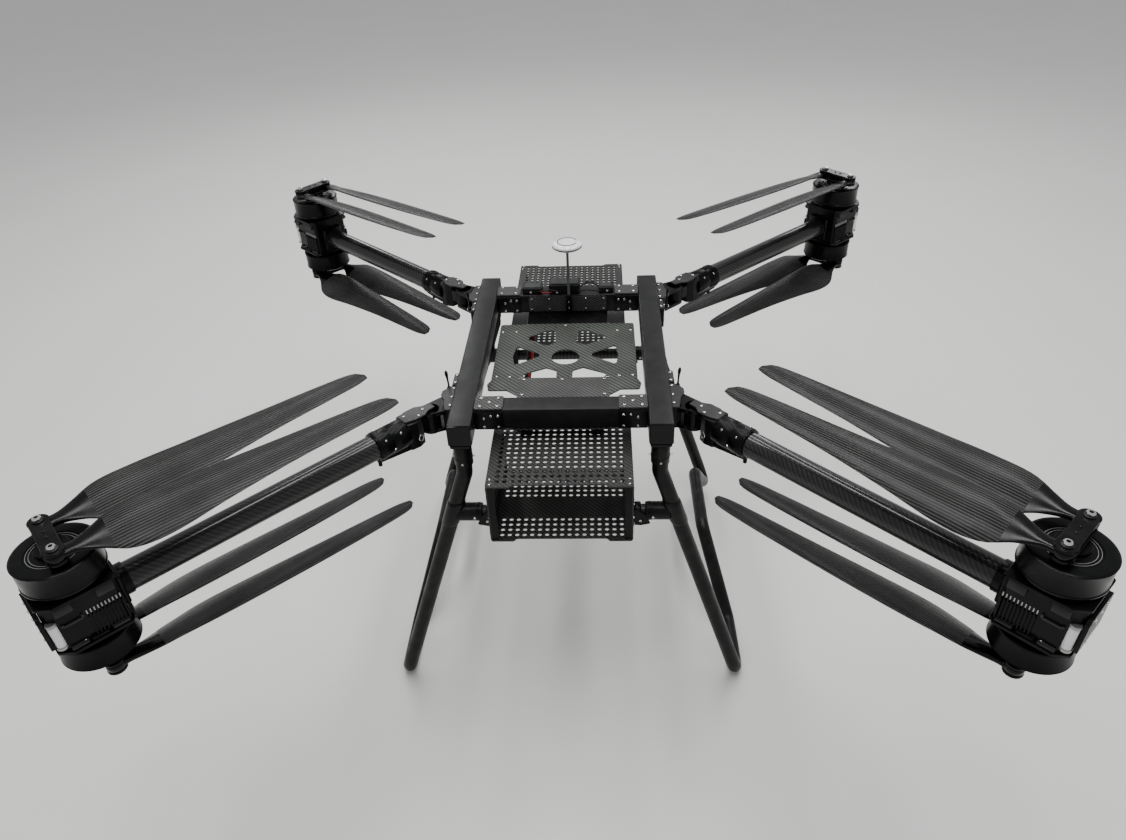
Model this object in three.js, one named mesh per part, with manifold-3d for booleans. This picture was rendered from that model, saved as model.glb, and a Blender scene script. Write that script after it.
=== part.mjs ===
// Heavy-lift drone with an H-shaped frame, four folding arms and a pair of contra-rotating rotors on each arm.
// Units are millimetres. +Z is up, -Y is the front, and the origin is on the floor below the frame's centre.
// The rest pose is the storage pose of the blades: arms out, every blade folded back over its own arm.

import * as THREE from 'three';
import { mergeVertices } from 'three/addons/utils/BufferGeometryUtils.js';
import Module from 'manifold-3d';

const wasm = await Module();
wasm.setup();

// ---------------------------------------------------------------- driving dimensions
const PROP_DIAMETER = 1219;
const MOTOR_X = 737;
const MOTOR_Y = 714;
const MOTOR_MID_Z = 689;
const FRAME_TOP = 719;
const GAP = 0.3;

const RAIL = { centre: 193, width: 47, height: 46, halfLength: 314, wall: 3 };
const BEAM = { centre: 238.5, width: 45, wall: 3 };
const FRAME_BOTTOM = FRAME_TOP - RAIL.height;
const RAIL_OUTER = RAIL.centre + RAIL.width / 2;
const RAIL_INNER = RAIL.centre - RAIL.width / 2;
const SHEET = 3;

// The rear arms are hinged nearer to the ends of the rails than the front ones, by `rearShift`.
const HINGE = { x: 262, y: 233, rearShift: 59, pin: 5 };
const TUBE = { radius: 25, bore: 23, z: 682 };

const CAN = { radius: 61, bottom: 58, top: 103 };
const HUB = { halfSpan: 41, eye: 16, lower: 111, upper: 134, plate: 4.6, bolt: 4.9 };
const BLADE = { length: PROP_DIAMETER / 2 - HUB.halfSpan, mid: 122.5, root: 13 };

const BATTERY_BOX = { halfWidth: 138, bottom: 512.5, top: 650, depth: 211, frontEdge: 411, rearEdge: 529 };
const LEG = { tube: 16, skid: 14.4, topY: 298, bendY: 303, bendZ: 600, footX: 386, footY: 327 };
const TIE = { radius: 14, y: 307, z: 498.2 };
const MAST = { x: 4, y: 208, radius: 3.2, bottom: 690, top: 842 };

// ---------------------------------------------------------------- finishes
function finish(colour, roughness, metalness) {
  return new THREE.MeshStandardMaterial({ color: colour, roughness, metalness, flatShading: true });
}

const ANODISED = finish(0x161617, 0.42, 0.7);
const FRAME_BLACK = finish(0x2a2a2b, 0.45, 0.4);
const CARBON = finish(0x1b1b1d, 0.28, 0.2);
const FOAM = finish(0x1c1d1c, 0.85, 0.0);
const PLASTIC = finish(0x121213, 0.5, 0.0);
const PALE_SHELL = finish(0xe6e8e6, 0.35, 0.0);
const CABLE = finish(0x7a1414, 0.5, 0.0);

// ---------------------------------------------------------------- solids from three.js geometry
// A geometry as a closed solid: shared corners are merged and triangles that have closed up are dropped.
function solid(geometry) {
  const bare = geometry.index ? geometry.toNonIndexed() : geometry.clone();
  bare.deleteAttribute('normal');
  bare.deleteAttribute('uv');
  const merged = mergeVertices(bare, 1e-4);
  const index = merged.index.array;
  const kept = [];
  for (let i = 0; i < index.length; i += 3) {
    const [a, b, c] = [index[i], index[i + 1], index[i + 2]];
    if (a !== b && b !== c && c !== a) kept.push(a, b, c);
  }
  return new wasm.Manifold(new wasm.Mesh({
    numProp: 3,
    vertProperties: merged.attributes.position.array,
    triVerts: Uint32Array.from(kept),
  }));
}

function join(...solids) {
  return solids.reduce((sum, next) => sum.add(next));
}

function geometryOf(body) {
  const mesh = body.getMesh();
  const geometry = new THREE.BufferGeometry();
  geometry.setAttribute('position', new THREE.BufferAttribute(Float32Array.from(mesh.vertProperties), 3));
  geometry.setIndex(new THREE.BufferAttribute(Uint32Array.from(mesh.triVerts), 1));
  return geometry;
}

// The other hand of a geometry: y changes sign and every triangle turns over.
function otherHand(geometry) {
  const flipped = geometry.clone().scale(1, -1, 1);
  const index = flipped.index.array;
  for (let i = 0; i < index.length; i += 3) [index[i + 1], index[i + 2]] = [index[i + 2], index[i + 1]];
  return flipped;
}

// A box between two corners.
function block(x0, x1, y0, y1, z0, z1) {
  const box = new THREE.BoxGeometry(x1 - x0, y1 - y0, z1 - z0);
  return solid(box.translate((x0 + x1) / 2, (y0 + y1) / 2, (z0 + z1) / 2));
}

// A round bar along X, Y or Z from low to high, centred on the other two coordinates.
function bar(axis, radius, low, high, [a, b], sides = 16) {
  const cylinder = new THREE.CylinderGeometry(radius, radius, high - low, sides, 1);
  const middle = (low + high) / 2;
  if (axis === 'x') return solid(cylinder.rotateZ(-Math.PI / 2).translate(middle, a, b));
  if (axis === 'y') return solid(cylinder.translate(a, middle, b));
  return solid(cylinder.rotateX(Math.PI / 2).translate(a, b, middle));
}

// A flat outline in x and y, raised from z0 to z1.
function prism(points, z0, z1) {
  const shape = new THREE.Shape(points.map(([x, y]) => new THREE.Vector2(x, y)));
  const raised = new THREE.ExtrudeGeometry(shape, { depth: z1 - z0, bevelEnabled: false });
  return solid(raised.translate(0, 0, z0));
}

// An outline in x and z, drawn out along y.
function profileAlongY(points, y0, y1) {
  const shape = new THREE.Shape(points.map(([x, z]) => new THREE.Vector2(x, z)));
  const drawn = new THREE.ExtrudeGeometry(shape, { depth: y1 - y0, bevelEnabled: false });
  return solid(drawn.rotateX(Math.PI / 2).translate(0, y1, 0));
}

// A closed profile of [radius, z] pairs turned about Z.
function turned(profile, sides, [x, y] = [0, 0]) {
  const points = profile.map(([r, z]) => new THREE.Vector2(r, z));
  return solid(new THREE.LatheGeometry(points, sides).rotateX(Math.PI / 2).translate(x, y, 0));
}

// A route through given points with its corners rounded to a radius, for bent tube and cable.
class BentRoute extends THREE.Curve {
  constructor(corners, bend, pieces) {
    super();
    this.stops = [corners[0]];
    for (let i = 1; i < corners.length - 1; i += 1) {
      const back = corners[i - 1].clone().sub(corners[i]);
      const ahead = corners[i + 1].clone().sub(corners[i]);
      const reach = bend / Math.tan(back.angleTo(ahead) / 2);
      const start = corners[i].clone().addScaledVector(back.normalize(), reach);
      const end = corners[i].clone().addScaledVector(ahead.normalize(), reach);
      const arc = new THREE.QuadraticBezierCurve3(start, corners[i], end);
      this.stops.push(...arc.getPoints(pieces));
    }
    this.stops.push(corners[corners.length - 1]);
    this.steps = this.stops.length - 1;
  }

  getPointAt(u, target = new THREE.Vector3()) {
    return target.copy(this.stops[Math.round(u * this.steps)]);
  }

  getTangentAt(u, target = new THREE.Vector3()) {
    const i = Math.round(u * this.steps);
    const ahead = this.stops[Math.min(i + 1, this.steps)].clone().sub(this.stops[Math.min(i, this.steps - 1)]);
    const behind = this.stops[Math.max(i, 1)].clone().sub(this.stops[Math.max(i - 1, 0)]);
    return target.copy(ahead.normalize().add(behind.normalize()).normalize());
  }
}

function roundSection(radius, sides) {
  const points = [];
  for (let i = 0; i < sides; i += 1) {
    const turn = (i / sides) * 2 * Math.PI;
    points.push(new THREE.Vector2(radius * Math.cos(turn), radius * Math.sin(turn)));
  }
  return new THREE.Shape(points);
}

function sweep(route, radius, sides) {
  return solid(new THREE.ExtrudeGeometry(roundSection(radius, sides), {
    steps: route.steps, extrudePath: route, bevelEnabled: false,
  }));
}

const vec = (x, y, z) => new THREE.Vector3(x, y, z);

// ---------------------------------------------------------------- the model and its nodes
const drone = new THREE.Group();
drone.name = 'coaxial_drone';

function piece(name, body, material, parent = drone, flipped = false) {
  const geometry = geometryOf(body);
  const mesh = new THREE.Mesh(flipped ? otherHand(geometry) : geometry, material);
  mesh.name = name;
  parent.add(mesh);
  return mesh;
}

// ---------------------------------------------------------------- frame
// A closed rectangular tube with a lightening hole underneath that also vents it.
function sideRail() {
  const { centre, width, wall, halfLength } = RAIL;
  const [x0, x1] = [centre - width / 2, centre + width / 2];
  const outside = block(x0, x1, -halfLength, halfLength, FRAME_BOTTOM, FRAME_TOP);
  const inside = block(x0 + wall, x1 - wall, -halfLength + wall, halfLength - wall,
    FRAME_BOTTOM + wall, FRAME_TOP - wall);
  const vent = bar('z', 6, FRAME_BOTTOM - 1, FRAME_BOTTOM + wall + 1, [centre, 0], 8);
  return outside.subtract(inside).subtract(vent);
}

// A cross beam between the rails, with a gusset plate on top of each end and an angle bracket on its faces.
function crossBeam() {
  const { centre, width, wall } = BEAM;
  const end = RAIL_INNER - GAP;
  const [y0, y1] = [centre - width / 2, centre + width / 2];
  const gusset = 56;
  const outside = block(-end, end, y0, y1, FRAME_BOTTOM, FRAME_TOP);
  const inside = block(-end - 1, end + 1, y0 + wall, y1 - wall, FRAME_BOTTOM + wall, FRAME_TOP - wall);
  let beam = outside.subtract(inside);
  for (const side of [-1, 1]) {
    const [a, b] = side < 0 ? [-end, -end + gusset] : [end - gusset, end];
    beam = join(beam, block(a, b, y0, y1, FRAME_TOP, FRAME_TOP + SHEET));
    beam = join(beam, block(a, b, y0 - 4, y0, FRAME_BOTTOM + 4, FRAME_TOP - 4));
    beam = join(beam, block(a, b, y1, y1 + 4, FRAME_BOTTOM + 4, FRAME_TOP - 4));
  }
  return beam;
}

// The waisted outline of a window in the centre plate, given for its right half where x is positive.
const FAN_SIDE = [[59, 12], [59, 25], [112, 58], [118, 16], [112, -24]];
const FAN_FRONT = [[92, -64], [83, -77], [17, -79], [18, -47], [40, -35], [84, -57]];
const FAN_REAR = [[95, 93], [86, 101], [48, 127], [27, 126], [23, 73], [43, 59], [64, 72]];

function mirrored(points) {
  return points.map(([x, y]) => [-x, y]).reverse();
}

function centrePlate() {
  const rear = BEAM.centre + BEAM.width / 2;
  const right = [[96, -rear], [96, -143], [120, -122], [160, -122], [164, -100], [157, -84], [157, 158],
    [96, 158], [96, rear]];
  const outline = [...right, ...mirrored(right)];
  const top = FRAME_BOTTOM - GAP;
  let plate = prism(outline, top - SHEET, top);
  plate = plate.subtract(bar('z', 31.5, top - SHEET - 1, top + 1, [0, 10], 20));
  for (const window of [FAN_SIDE, FAN_FRONT, FAN_REAR]) {
    plate = plate.subtract(prism(window, top - SHEET - 1, top + 1));
    plate = plate.subtract(prism(mirrored(window), top - SHEET - 1, top + 1));
  }
  const tongueEnd = BEAM.centre - BEAM.width / 2 - 4 - GAP;
  return plate.add(block(-96, 96, -tongueEnd, -80, top, top + SHEET));
}

// A battery box open at both ends: top, bottom and two side plates. It hangs on posts from the frame above.
// y0 and y1 are its ends, roof is how far the top plate runs, and the posts stand at postY.
function batteryBox(y0, y1, roof, postY, postTop) {
  const { halfWidth, bottom, top } = BATTERY_BOX;
  let box = join(
    block(-halfWidth, halfWidth, y0, y1, bottom, bottom + SHEET),
    block(-halfWidth, halfWidth, roof[0], roof[1], top - SHEET, top),
    block(-halfWidth, -halfWidth + SHEET, y0, y1, bottom, top),
    block(halfWidth - SHEET, halfWidth, y0, y1, bottom, top),
  );
  for (const x of [-70, 70]) {
    box = join(box, block(x - 12, x + 12, postY - 12, postY + 12, top - SHEET, postTop));
  }
  return box;
}

piece('left_rail', sideRail(), FRAME_BLACK).rotation.z = Math.PI;
piece('right_rail', sideRail(), FRAME_BLACK);
piece('front_beam', crossBeam(), FRAME_BLACK).rotation.z = Math.PI;
piece('rear_beam', crossBeam(), FRAME_BLACK);
piece('centre_plate', centrePlate(), CARBON);

const underPlate = FRAME_BOTTOM - GAP - SHEET - GAP;
const { frontEdge, rearEdge, depth } = BATTERY_BOX;
const frontRoof = [-frontEdge, depth - frontEdge];
const frontBox = batteryBox(-frontEdge, depth - frontEdge, frontRoof, -BEAM.centre, underPlate);
const rearBox = batteryBox(rearEdge - depth, rearEdge, [190, rearEdge], BEAM.centre, underPlate);
piece('front_battery_box', frontBox, CARBON);
piece('rear_battery_box', rearBox, CARBON);

// ---------------------------------------------------------------- landing gear
// The sideways place of the slanted tube at a height: its plane leans out from the bend to the foot.
function leanX(z) {
  return LEG.footX + ((z - LEG.skid) * (RAIL.centre - LEG.footX)) / (LEG.bendZ - LEG.skid);
}

// One bent tube runs down from the rail, forms the arched skid and comes back up to the rail.
function landingGear() {
  const { tube, skid: floor, topY, bendY, bendZ, footX, footY } = LEG;
  const top = FRAME_BOTTOM - GAP;
  const arch = 188;
  const ground = block(footX - 60, footX + 60, -footY - 60, footY + 60, -tube, 0);
  const route = new BentRoute([
    vec(RAIL.centre, -topY, top - 4), vec(RAIL.centre, -bendY, bendZ), vec(leanX(floor), -footY, floor),
    vec(leanX(floor), -168, floor), vec(leanX(arch), -18, arch), vec(leanX(arch), 190, arch),
    vec(leanX(floor), footY + 13, floor), vec(RAIL.centre, bendY, bendZ), vec(RAIL.centre, topY, top - 4),
  ], 34, 2);
  let gear = sweep(route, tube, 8).subtract(ground);
  for (const side of [-1, 1]) {
    const knot = new BentRoute([
      vec(leanX(TIE.z + 30), side * TIE.y, TIE.z + 30), vec(leanX(TIE.z - 28), side * TIE.y, TIE.z - 28),
    ], 10, 1);
    const stub = bar('x', 19, RAIL.centre - 28, leanX(TIE.z), [side * TIE.y, TIE.z], 10);
    const socket = bar('x', TIE.radius + GAP, RAIL.centre - 29, RAIL.centre - 18, [side * TIE.y, TIE.z], 10);
    gear = join(gear, sweep(knot, tube + 3, 10), stub).subtract(socket);
    const [y0, y1] = [side * topY - 19, side * topY + 19];
    gear = join(gear, block(RAIL.centre - 21, RAIL.centre + 21, y0, y1, top - 6, top));
    gear = join(gear, bar('z', tube + 2.5, 618, top - 5, [RAIL.centre, side * topY], 10));
  }
  return gear;
}

// The tube that ties the two legs together under a battery box, with a clamp and a side plate at each end.
function crossTube(side) {
  const { radius, z } = TIE;
  const y = side * TIE.y;
  const end = RAIL.centre - 18 - GAP;
  const face = BATTERY_BOX.halfWidth + GAP;
  let tie = bar('x', radius, -end, end, [y, z], 10);
  for (const hand of [-1, 1]) {
    const [a, b] = hand < 0 ? [-face - 18, -face - 4] : [face + 4, face + 18];
    const [c, d] = hand < 0 ? [-face - 4, -face] : [face, face + 4];
    const y0 = side < 0 ? y - 26 : y;
    tie = join(tie, bar('x', radius + 5, a, b, [y, z], 10), block(c, d, y - 26, y + 30, z - 22, 552));
    tie = join(tie, block(Math.min(a, c), Math.max(b, d), y0, y0 + 26, z - 22, z - 10));
  }
  return tie;
}

piece('right_landing_gear', landingGear(), FOAM);
piece('left_landing_gear', landingGear(), FOAM, drone, true).rotation.z = Math.PI;
piece('front_cross_tube', crossTube(-1), CARBON);
piece('rear_cross_tube', crossTube(1), CARBON);

// ---------------------------------------------------------------- electronics on the rear beam
const beamTop = FRAME_TOP + GAP;

function controller() {
  const lid = block(-36, 22, 224, 254, beamTop + 24, beamTop + 27);
  return block(-44, 30, 219, 259, beamTop, beamTop + 24).add(lid);
}

function receiver() {
  const lid = block(-104, -64, 226, 252, beamTop + 15, beamTop + 17);
  return block(-108, -60, 222, 256, beamTop, beamTop + 15).add(lid);
}

// A thin mast in a clamp on the front face of the rear beam.
function mast() {
  const { x, y, radius, bottom, top } = MAST;
  const face = BEAM.centre - BEAM.width / 2 - GAP;
  return join(
    bar('z', radius, bottom, top - GAP, [x, y], 10),
    block(x - 7, x + 7, y - 5, face, bottom - 8, FRAME_TOP - 4),
    bar('z', 6, FRAME_TOP - 6, FRAME_TOP + 6, [x, y], 10),
  );
}

function positionPuck() {
  const { x, y, top } = MAST;
  const profile = [[0, 0], [24, 0], [33, 6], [34.5, 10], [31, 14.5], [20, 18], [0, 18.6]];
  return turned(profile.map(([r, z]) => [r, z + top]), 20, [x, y]);
}

piece('flight_controller', controller(), PLASTIC);
piece('receiver', receiver(), PLASTIC);
piece('position_mast', mast(), ANODISED);
piece('position_puck', positionPuck(), PALE_SHELL);

// A twin power lead that runs below the centre plate from one battery box to the other.
function powerLead() {
  const [x, high, low, core] = [-87, 640, 628, 4.4];
  const route = new BentRoute([
    vec(x, depth - frontEdge - 30, high), vec(x, depth - frontEdge + 40, high), vec(x + 2, 60, low),
    vec(x - 2, rearEdge - depth - 60, high), vec(x - 4, rearEdge - depth + 30, high),
  ], 60, 2);
  const outline = [];
  for (const side of [1, -1]) {
    for (let i = -2; i <= 2; i += 1) {
      const turn = (i * Math.PI) / 5;
      const out = core * Math.cos(turn) + core - 0.6;
      outline.push(new THREE.Vector2(core * Math.sin(turn) * side, side * out));
    }
  }
  return solid(new THREE.ExtrudeGeometry(new THREE.Shape(outline), {
    steps: route.steps, extrudePath: route, bevelEnabled: false,
  }));
}

piece('power_lead', powerLead(), CABLE);

// ---------------------------------------------------------------- arm roots
// The bracket bolted to a rail's outer side. Its two ears hold the upright hinge pin of the arm.
const EAR = { eye: 20, top: 704, bottom: 656, thick: 9 };
const LEVER = { x: 236, y: 146, z: 692, boss: 7, rise: 45 };

function armBracket(angle) {
  const side = RAIL_OUTER + GAP;
  const across = [-Math.sin(angle) * EAR.eye, Math.cos(angle) * EAR.eye];
  const ear = [[side + 9, 172], [HINGE.x - across[0], HINGE.y - across[1]],
    [HINGE.x + across[0], HINGE.y + across[1]], [side + 9, 238]];
  const cover = [[side, 156], [side + 12, 156], [side + 28, 173], [side + 29, 187], [side + 20, 206],
    [side + 15, 240], [side, 240]];
  const web = [[side + 9, 172], [side + 19, 182], [side + 19, 236], [side + 9, 238]];
  const { eye, top, bottom, thick } = EAR;
  const spot = [HINGE.x, HINGE.y];
  return join(
    block(side, side + 12, 106, 240, bottom, top),
    prism(web, bottom, top),
    prism(ear, top - thick, top), bar('z', eye, top - thick, top, spot, 12),
    prism(ear, bottom, bottom + thick), bar('z', eye, bottom, bottom + thick, spot, 12),
    prism(cover, top, top + 3),
    bar('z', HINGE.pin, bottom - 5, top + 2, spot, 8),
    bar('x', 5, side + 9, LEVER.x - 4 - GAP, [LEVER.y, LEVER.z], 8),
  );
}

// The upright cam lever that locks the hinge.
function clampLever() {
  const { x, y, z, boss, rise } = LEVER;
  const grip = [[x - 3, z], [x + 3, z], [x + 5, z + rise - 10], [x + 3, z + rise], [x - 1, z + rise],
    [x - 3, z + rise - 10]];
  return join(bar('x', boss, x - 4, x + 4, [y, z], 10), profileAlongY(grip, y - 4, y + 4));
}

// The swinging half of the hinge: a tongue between the ears, a deep body and a round clamp on the tube.
function knuckle() {
  const { radius, z } = TUBE;
  const tongue = [EAR.bottom + EAR.thick + GAP, EAR.top - EAR.thick - GAP];
  const capPlate = [[-8, -9], [10, -12], [24, -20], [48, -20], [66, -12], [66, 12], [45, 18], [22, 18],
    [10, 10], [-8, 9]];
  const body = [[30, -14], [46, -22], [66, -22], [66, 22], [46, 24], [30, 18]];
  const keel = [[34, 648], [60, 644], [138, 652], [138, 668], [34, 668]];
  const mouth = 136;
  const solidPart = join(
    bar('z', EAR.eye - 0.5, ...tongue, [0, 0], 12),
    block(0, 36, -14, 14, ...tongue),
    prism(body, 648, EAR.top + 3 + GAP),
    profileAlongY(keel, -13, 13),
    prism(capPlate, EAR.top + 3 + GAP, EAR.top + 7),
    bar('x', radius + 4, 62, mouth, [0, z], 16),
    bar('z', 4, 634, 654, [mouth - 8, 0], 6),
  );
  return solidPart
    .subtract(bar('z', HINGE.pin + 0.9, EAR.bottom - 1, EAR.top + 2 + GAP, [0, 0], 8))
    .subtract(bar('x', radius + 0.4, 75, mouth + 4, [0, z], 16));
}

// ---------------------------------------------------------------- arm tube and motor mount
// Both count back from the motors' axis, which is `run` away from the hinge.
const SOCKET = { near: 74, seat: 62 };

function armTube(run) {
  const { radius, bore, z } = TUBE;
  const [start, end] = [75 + GAP, run - SOCKET.seat - GAP];
  return bar('x', radius, start, end, [0, z], 16).subtract(bar('x', bore, start - 1, end + 1, [0, z], 16));
}

// The housing between the two motors of an arm, with a socket for the tube and an upright plate on its end.
function motorMount(at) {
  const mid = MOTOR_MID_Z;
  const seat = at - SOCKET.seat;
  const near = at - SOCKET.near;
  const waist = CAN.bottom - 0.4;
  const core = [[-52, -44], [-46, -50], [42, -50], [58, -38], [58, 38], [42, 50], [-46, 50], [-52, 44]];
  const flange = [[-56, -48], [-46, -60], [40, -60], [62, -42], [62, 42], [40, 60], [-46, 60], [-56, 48]];
  const moved = (points) => points.map(([u, v]) => [u + at, v]);
  const { radius, z } = TUBE;
  return join(
    prism(moved(core), mid - 46, mid + 46),
    prism(moved(flange), mid + 42, mid + 50), prism(moved(flange), mid - 50, mid - 42),
    block(at + 57, at + 66, -44, 44, mid - 36, mid + 30),
    block(seat, at - 49, -29, 29, z - 29, z + 29),
    bar('x', radius + 3, near, seat + 1, [0, z], 16),
    bar('z', 42, mid - waist, mid + waist, [at, 0], 12),
  ).subtract(bar('x', radius + 0.4, near - 1, seat, [0, z], 16));
}

// ---------------------------------------------------------------- rotors and blades
// A motor bell with the folding hub on it. Heights count from the middle of the arm's motor mount, and the
// blades' bolts stand in a row across the arm.
function rotor() {
  const { radius, bottom, top } = CAN;
  const { halfSpan, eye, lower, upper, plate, bolt } = HUB;
  const bell = turned([[0, bottom], [radius, bottom], [radius, top], [25, top], [25, lower], [0, lower]], 20);
  const strap = [];
  for (const end of [1, -1]) {
    for (let i = -2; i <= 2; i += 1) {
      const turn = (i * Math.PI) / 4;
      strap.push([end * -eye * Math.sin(turn), end * (halfSpan + eye * Math.cos(turn))]);
    }
  }
  const waist = 13;
  let hub = join(bell, prism(strap, lower, lower + plate), prism(strap, upper - plate, upper),
    block(-waist, waist, -19, 19, lower, upper));
  for (const y of [-halfSpan, halfSpan]) {
    hub = join(hub, bar('z', bolt, lower + 1, upper - 1, [0, y], 8));
    hub = join(hub, bar('z', 8, upper - 1, upper + 7, [0, y], 8));
  }
  return hub;
}

// Blade stations: distance from the bolt, chord, thickness, pitch in degrees, share of chord ahead of the bolt.
const STATIONS = [
  [8, 25, 12.4, 0, 0.5], [25, 25, 12, 2, 0.5], [52, 44, 10, 13, 0.5], [92, 80, 8.4, 21, 0.45],
  [150, 90, 7.4, 19, 0.44], [240, 78, 6.2, 14.5, 0.5], [370, 60, 4.5, 10, 0.61], [500, 45, 3.3, 7.5, 0.73],
  [553, 33, 2.6, 7, 0.82], [BLADE.length, 13, 1.8, 7, 0.95],
];

// A blade along X with its leading edge towards +Y: a round bar whose rows become the blade's sections.
// Its tip lifts by `lift` degrees.
function blade(lift) {
  const rows = STATIONS.length - 1;
  const skin = new THREE.CylinderGeometry(1, 1, 1, 6, rows).rotateZ(-Math.PI / 2);
  const corners = skin.attributes.position;
  for (let i = 0; i < corners.count; i += 1) {
    const [x, chord, thick, pitch, ahead] = STATIONS[Math.round((corners.getX(i) + 0.5) * rows)];
    const [along, up] = [corners.getY(i), corners.getZ(i)];
    const y = chord * (along / 2 + ahead - 0.5);
    const z = (thick / 2) * up + 0.05 * chord * (1 - along * along) * Math.min(1, x / 92);
    const turn = THREE.MathUtils.degToRad(pitch);
    const climb = Math.max(0, x - HUB.eye) * Math.tan(THREE.MathUtils.degToRad(lift));
    const [cos, sin] = [Math.cos(turn), Math.sin(turn)];
    corners.setXYZ(i, x, y * cos - z * sin, y * sin + z * cos + climb);
  }
  const boss = bar('z', HUB.eye, -BLADE.root / 2, BLADE.root / 2, [0, 0], 10);
  return join(solid(skin), boss).subtract(bar('z', HUB.bolt + 0.9, -BLADE.root, BLADE.root, [0, 0], 8));
}

// ---------------------------------------------------------------- the four arms
// How the rotors stand in storage, in degrees: each hub is turned a little (`set`), its two blades spread from
// the line of the arm to either side (`spread`) and their tips lift (`lift`).
const CORNERS = [
  { name: 'front_left', x: -1, y: -1,
    upper: { set: 3.1, spread: 1.5, lift: 0.5 }, lower: { set: 0, spread: 1, lift: -0.4 } },
  { name: 'front_right', x: 1, y: -1,
    upper: { set: 0.9, spread: 0.9, lift: 0.6 }, lower: { set: 0.9, spread: -0.3, lift: 0.1 } },
  { name: 'rear_left', x: -1, y: 1,
    upper: { set: 3.6, spread: 0.8, lift: 1.7 }, lower: { set: -3.6, spread: 0.9, lift: 1.7 } },
  { name: 'rear_right', x: 1, y: 1,
    upper: { set: 1.2, spread: 1.7, lift: 2.2 }, lower: { set: -2.5, spread: 1.1, lift: 1.9 } },
];

for (const corner of CORNERS) {
  const { name, x, y } = corner;
  const flipped = x !== y;
  const hand = flipped ? -1 : 1;
  const shift = y > 0 ? HINGE.rearShift : 0;
  const reach = [MOTOR_X - HINGE.x, MOTOR_Y - HINGE.y - shift];
  const run = Math.hypot(...reach);
  const angle = Math.atan2(reach[1], reach[0]);
  const side = new THREE.Group();
  side.position.y = shift;
  side.rotation.z = x > 0 ? 0 : Math.PI;
  drone.add(side);
  piece(`${name}_bracket`, armBracket(angle), ANODISED, side, flipped);
  piece(`${name}_clamp_lever`, clampLever(), ANODISED, side, flipped);

  const arm = new THREE.Group();
  arm.position.set(HINGE.x, hand * HINGE.y, 0);
  arm.rotation.z = hand * angle;
  side.add(arm);
  piece(`${name}_knuckle`, knuckle(), ANODISED, arm, flipped);
  piece(`${name}_arm_tube`, armTube(run), CARBON, arm, flipped);
  piece(`${name}_motor_mount`, motorMount(run), ANODISED, arm, flipped);

  for (const level of ['upper', 'lower']) {
    const { set, spread, lift } = corner[level];
    const below = level === 'lower';
    const hub = new THREE.Group();
    hub.position.set(run, 0, MOTOR_MID_Z);
    hub.rotation.z = hand * THREE.MathUtils.degToRad(-set);
    arm.add(hub);
    piece(`${name}_${level}_rotor`, rotor(), ANODISED, hub).rotation.x = below ? Math.PI : 0;
    for (const [letter, place] of [['a', 1], ['b', -1]]) {
      const label = `${name}_${level}_blade_${letter}`;
      const foil = piece(label, blade(lift), CARBON, hub, flipped !== below);
      foil.position.set(0, hand * place * HUB.halfSpan, below ? -BLADE.mid : BLADE.mid);
      foil.rotation.z = hand * (Math.PI - place * THREE.MathUtils.degToRad(spread));
    }
  }
}

export default drone;
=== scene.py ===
"""A heavy-lift coaxial drone on a pale floor: fine meshes and procedural materials over a fixed CAD frame.

Shapes are worked out in millimetres and become metres when a piece is made.
"""
from math import atan2, cos, pi, radians, sin, sqrt, tan

import bmesh
import bpy
from mathutils import Matrix, Vector


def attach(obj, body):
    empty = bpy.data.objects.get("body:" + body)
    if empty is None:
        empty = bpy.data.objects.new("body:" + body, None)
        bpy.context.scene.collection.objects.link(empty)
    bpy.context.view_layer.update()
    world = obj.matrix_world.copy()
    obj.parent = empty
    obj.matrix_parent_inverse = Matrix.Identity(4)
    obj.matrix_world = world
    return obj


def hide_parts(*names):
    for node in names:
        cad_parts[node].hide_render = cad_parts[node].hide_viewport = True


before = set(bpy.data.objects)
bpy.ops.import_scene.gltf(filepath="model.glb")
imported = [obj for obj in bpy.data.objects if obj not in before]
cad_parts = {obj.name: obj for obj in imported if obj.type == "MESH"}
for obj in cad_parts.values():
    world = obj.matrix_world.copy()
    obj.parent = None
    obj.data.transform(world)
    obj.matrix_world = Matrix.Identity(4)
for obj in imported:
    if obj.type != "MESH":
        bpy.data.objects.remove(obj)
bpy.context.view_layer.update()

# ---- driving dimensions, in millimetres
MM = 0.001
MOTOR = Vector((737, 714, 689))
FRAME_TOP = 719
FRAME_BOTTOM = 673
RAIL_IN, RAIL_OUT, RAIL_END = 169.5, 216.5, 314
BEAM_Y, BEAM_HALF, BEAM_END = 238.5, 22.5, 169.2
HINGE, REAR_SHIFT = Vector((262, 233)), 59
TUBE_R, TUBE_Z = 25, 682
CAN_R, CAN_LOW, CAN_HIGH = 61, 58, 103
HUB_SPAN, HUB_EYE, HUB_LOW, HUB_HIGH, HUB_PLATE = 41, 16, 111, 134, 4.6
BLADE_MID, BLADE_LENGTH = 122.5, 568.5
BOX_HALF, BOX_LOW, BOX_HIGH, BOX_FRONT, BOX_REAR, BOX_DEPTH = 138, 512.5, 650, 411, 529, 211
# The thickness of a carbon sheet, and the clearance between pieces that are bolted together.
SHEET, GAP = 3, 0.3
LEG_TUBE, LEG_SKID, LEG_TOP_Y, BEND_Y, BEND_Z = 16, 14.4, 298, 303, 600
FOOT_X, FOOT_Y, ARCH_Z = 386, 327, 188
TIE_TUBE, TIE_Y, TIE_Z = 14, 307, 498.2
RAIL_MID = (RAIL_IN + RAIL_OUT) / 2

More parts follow.
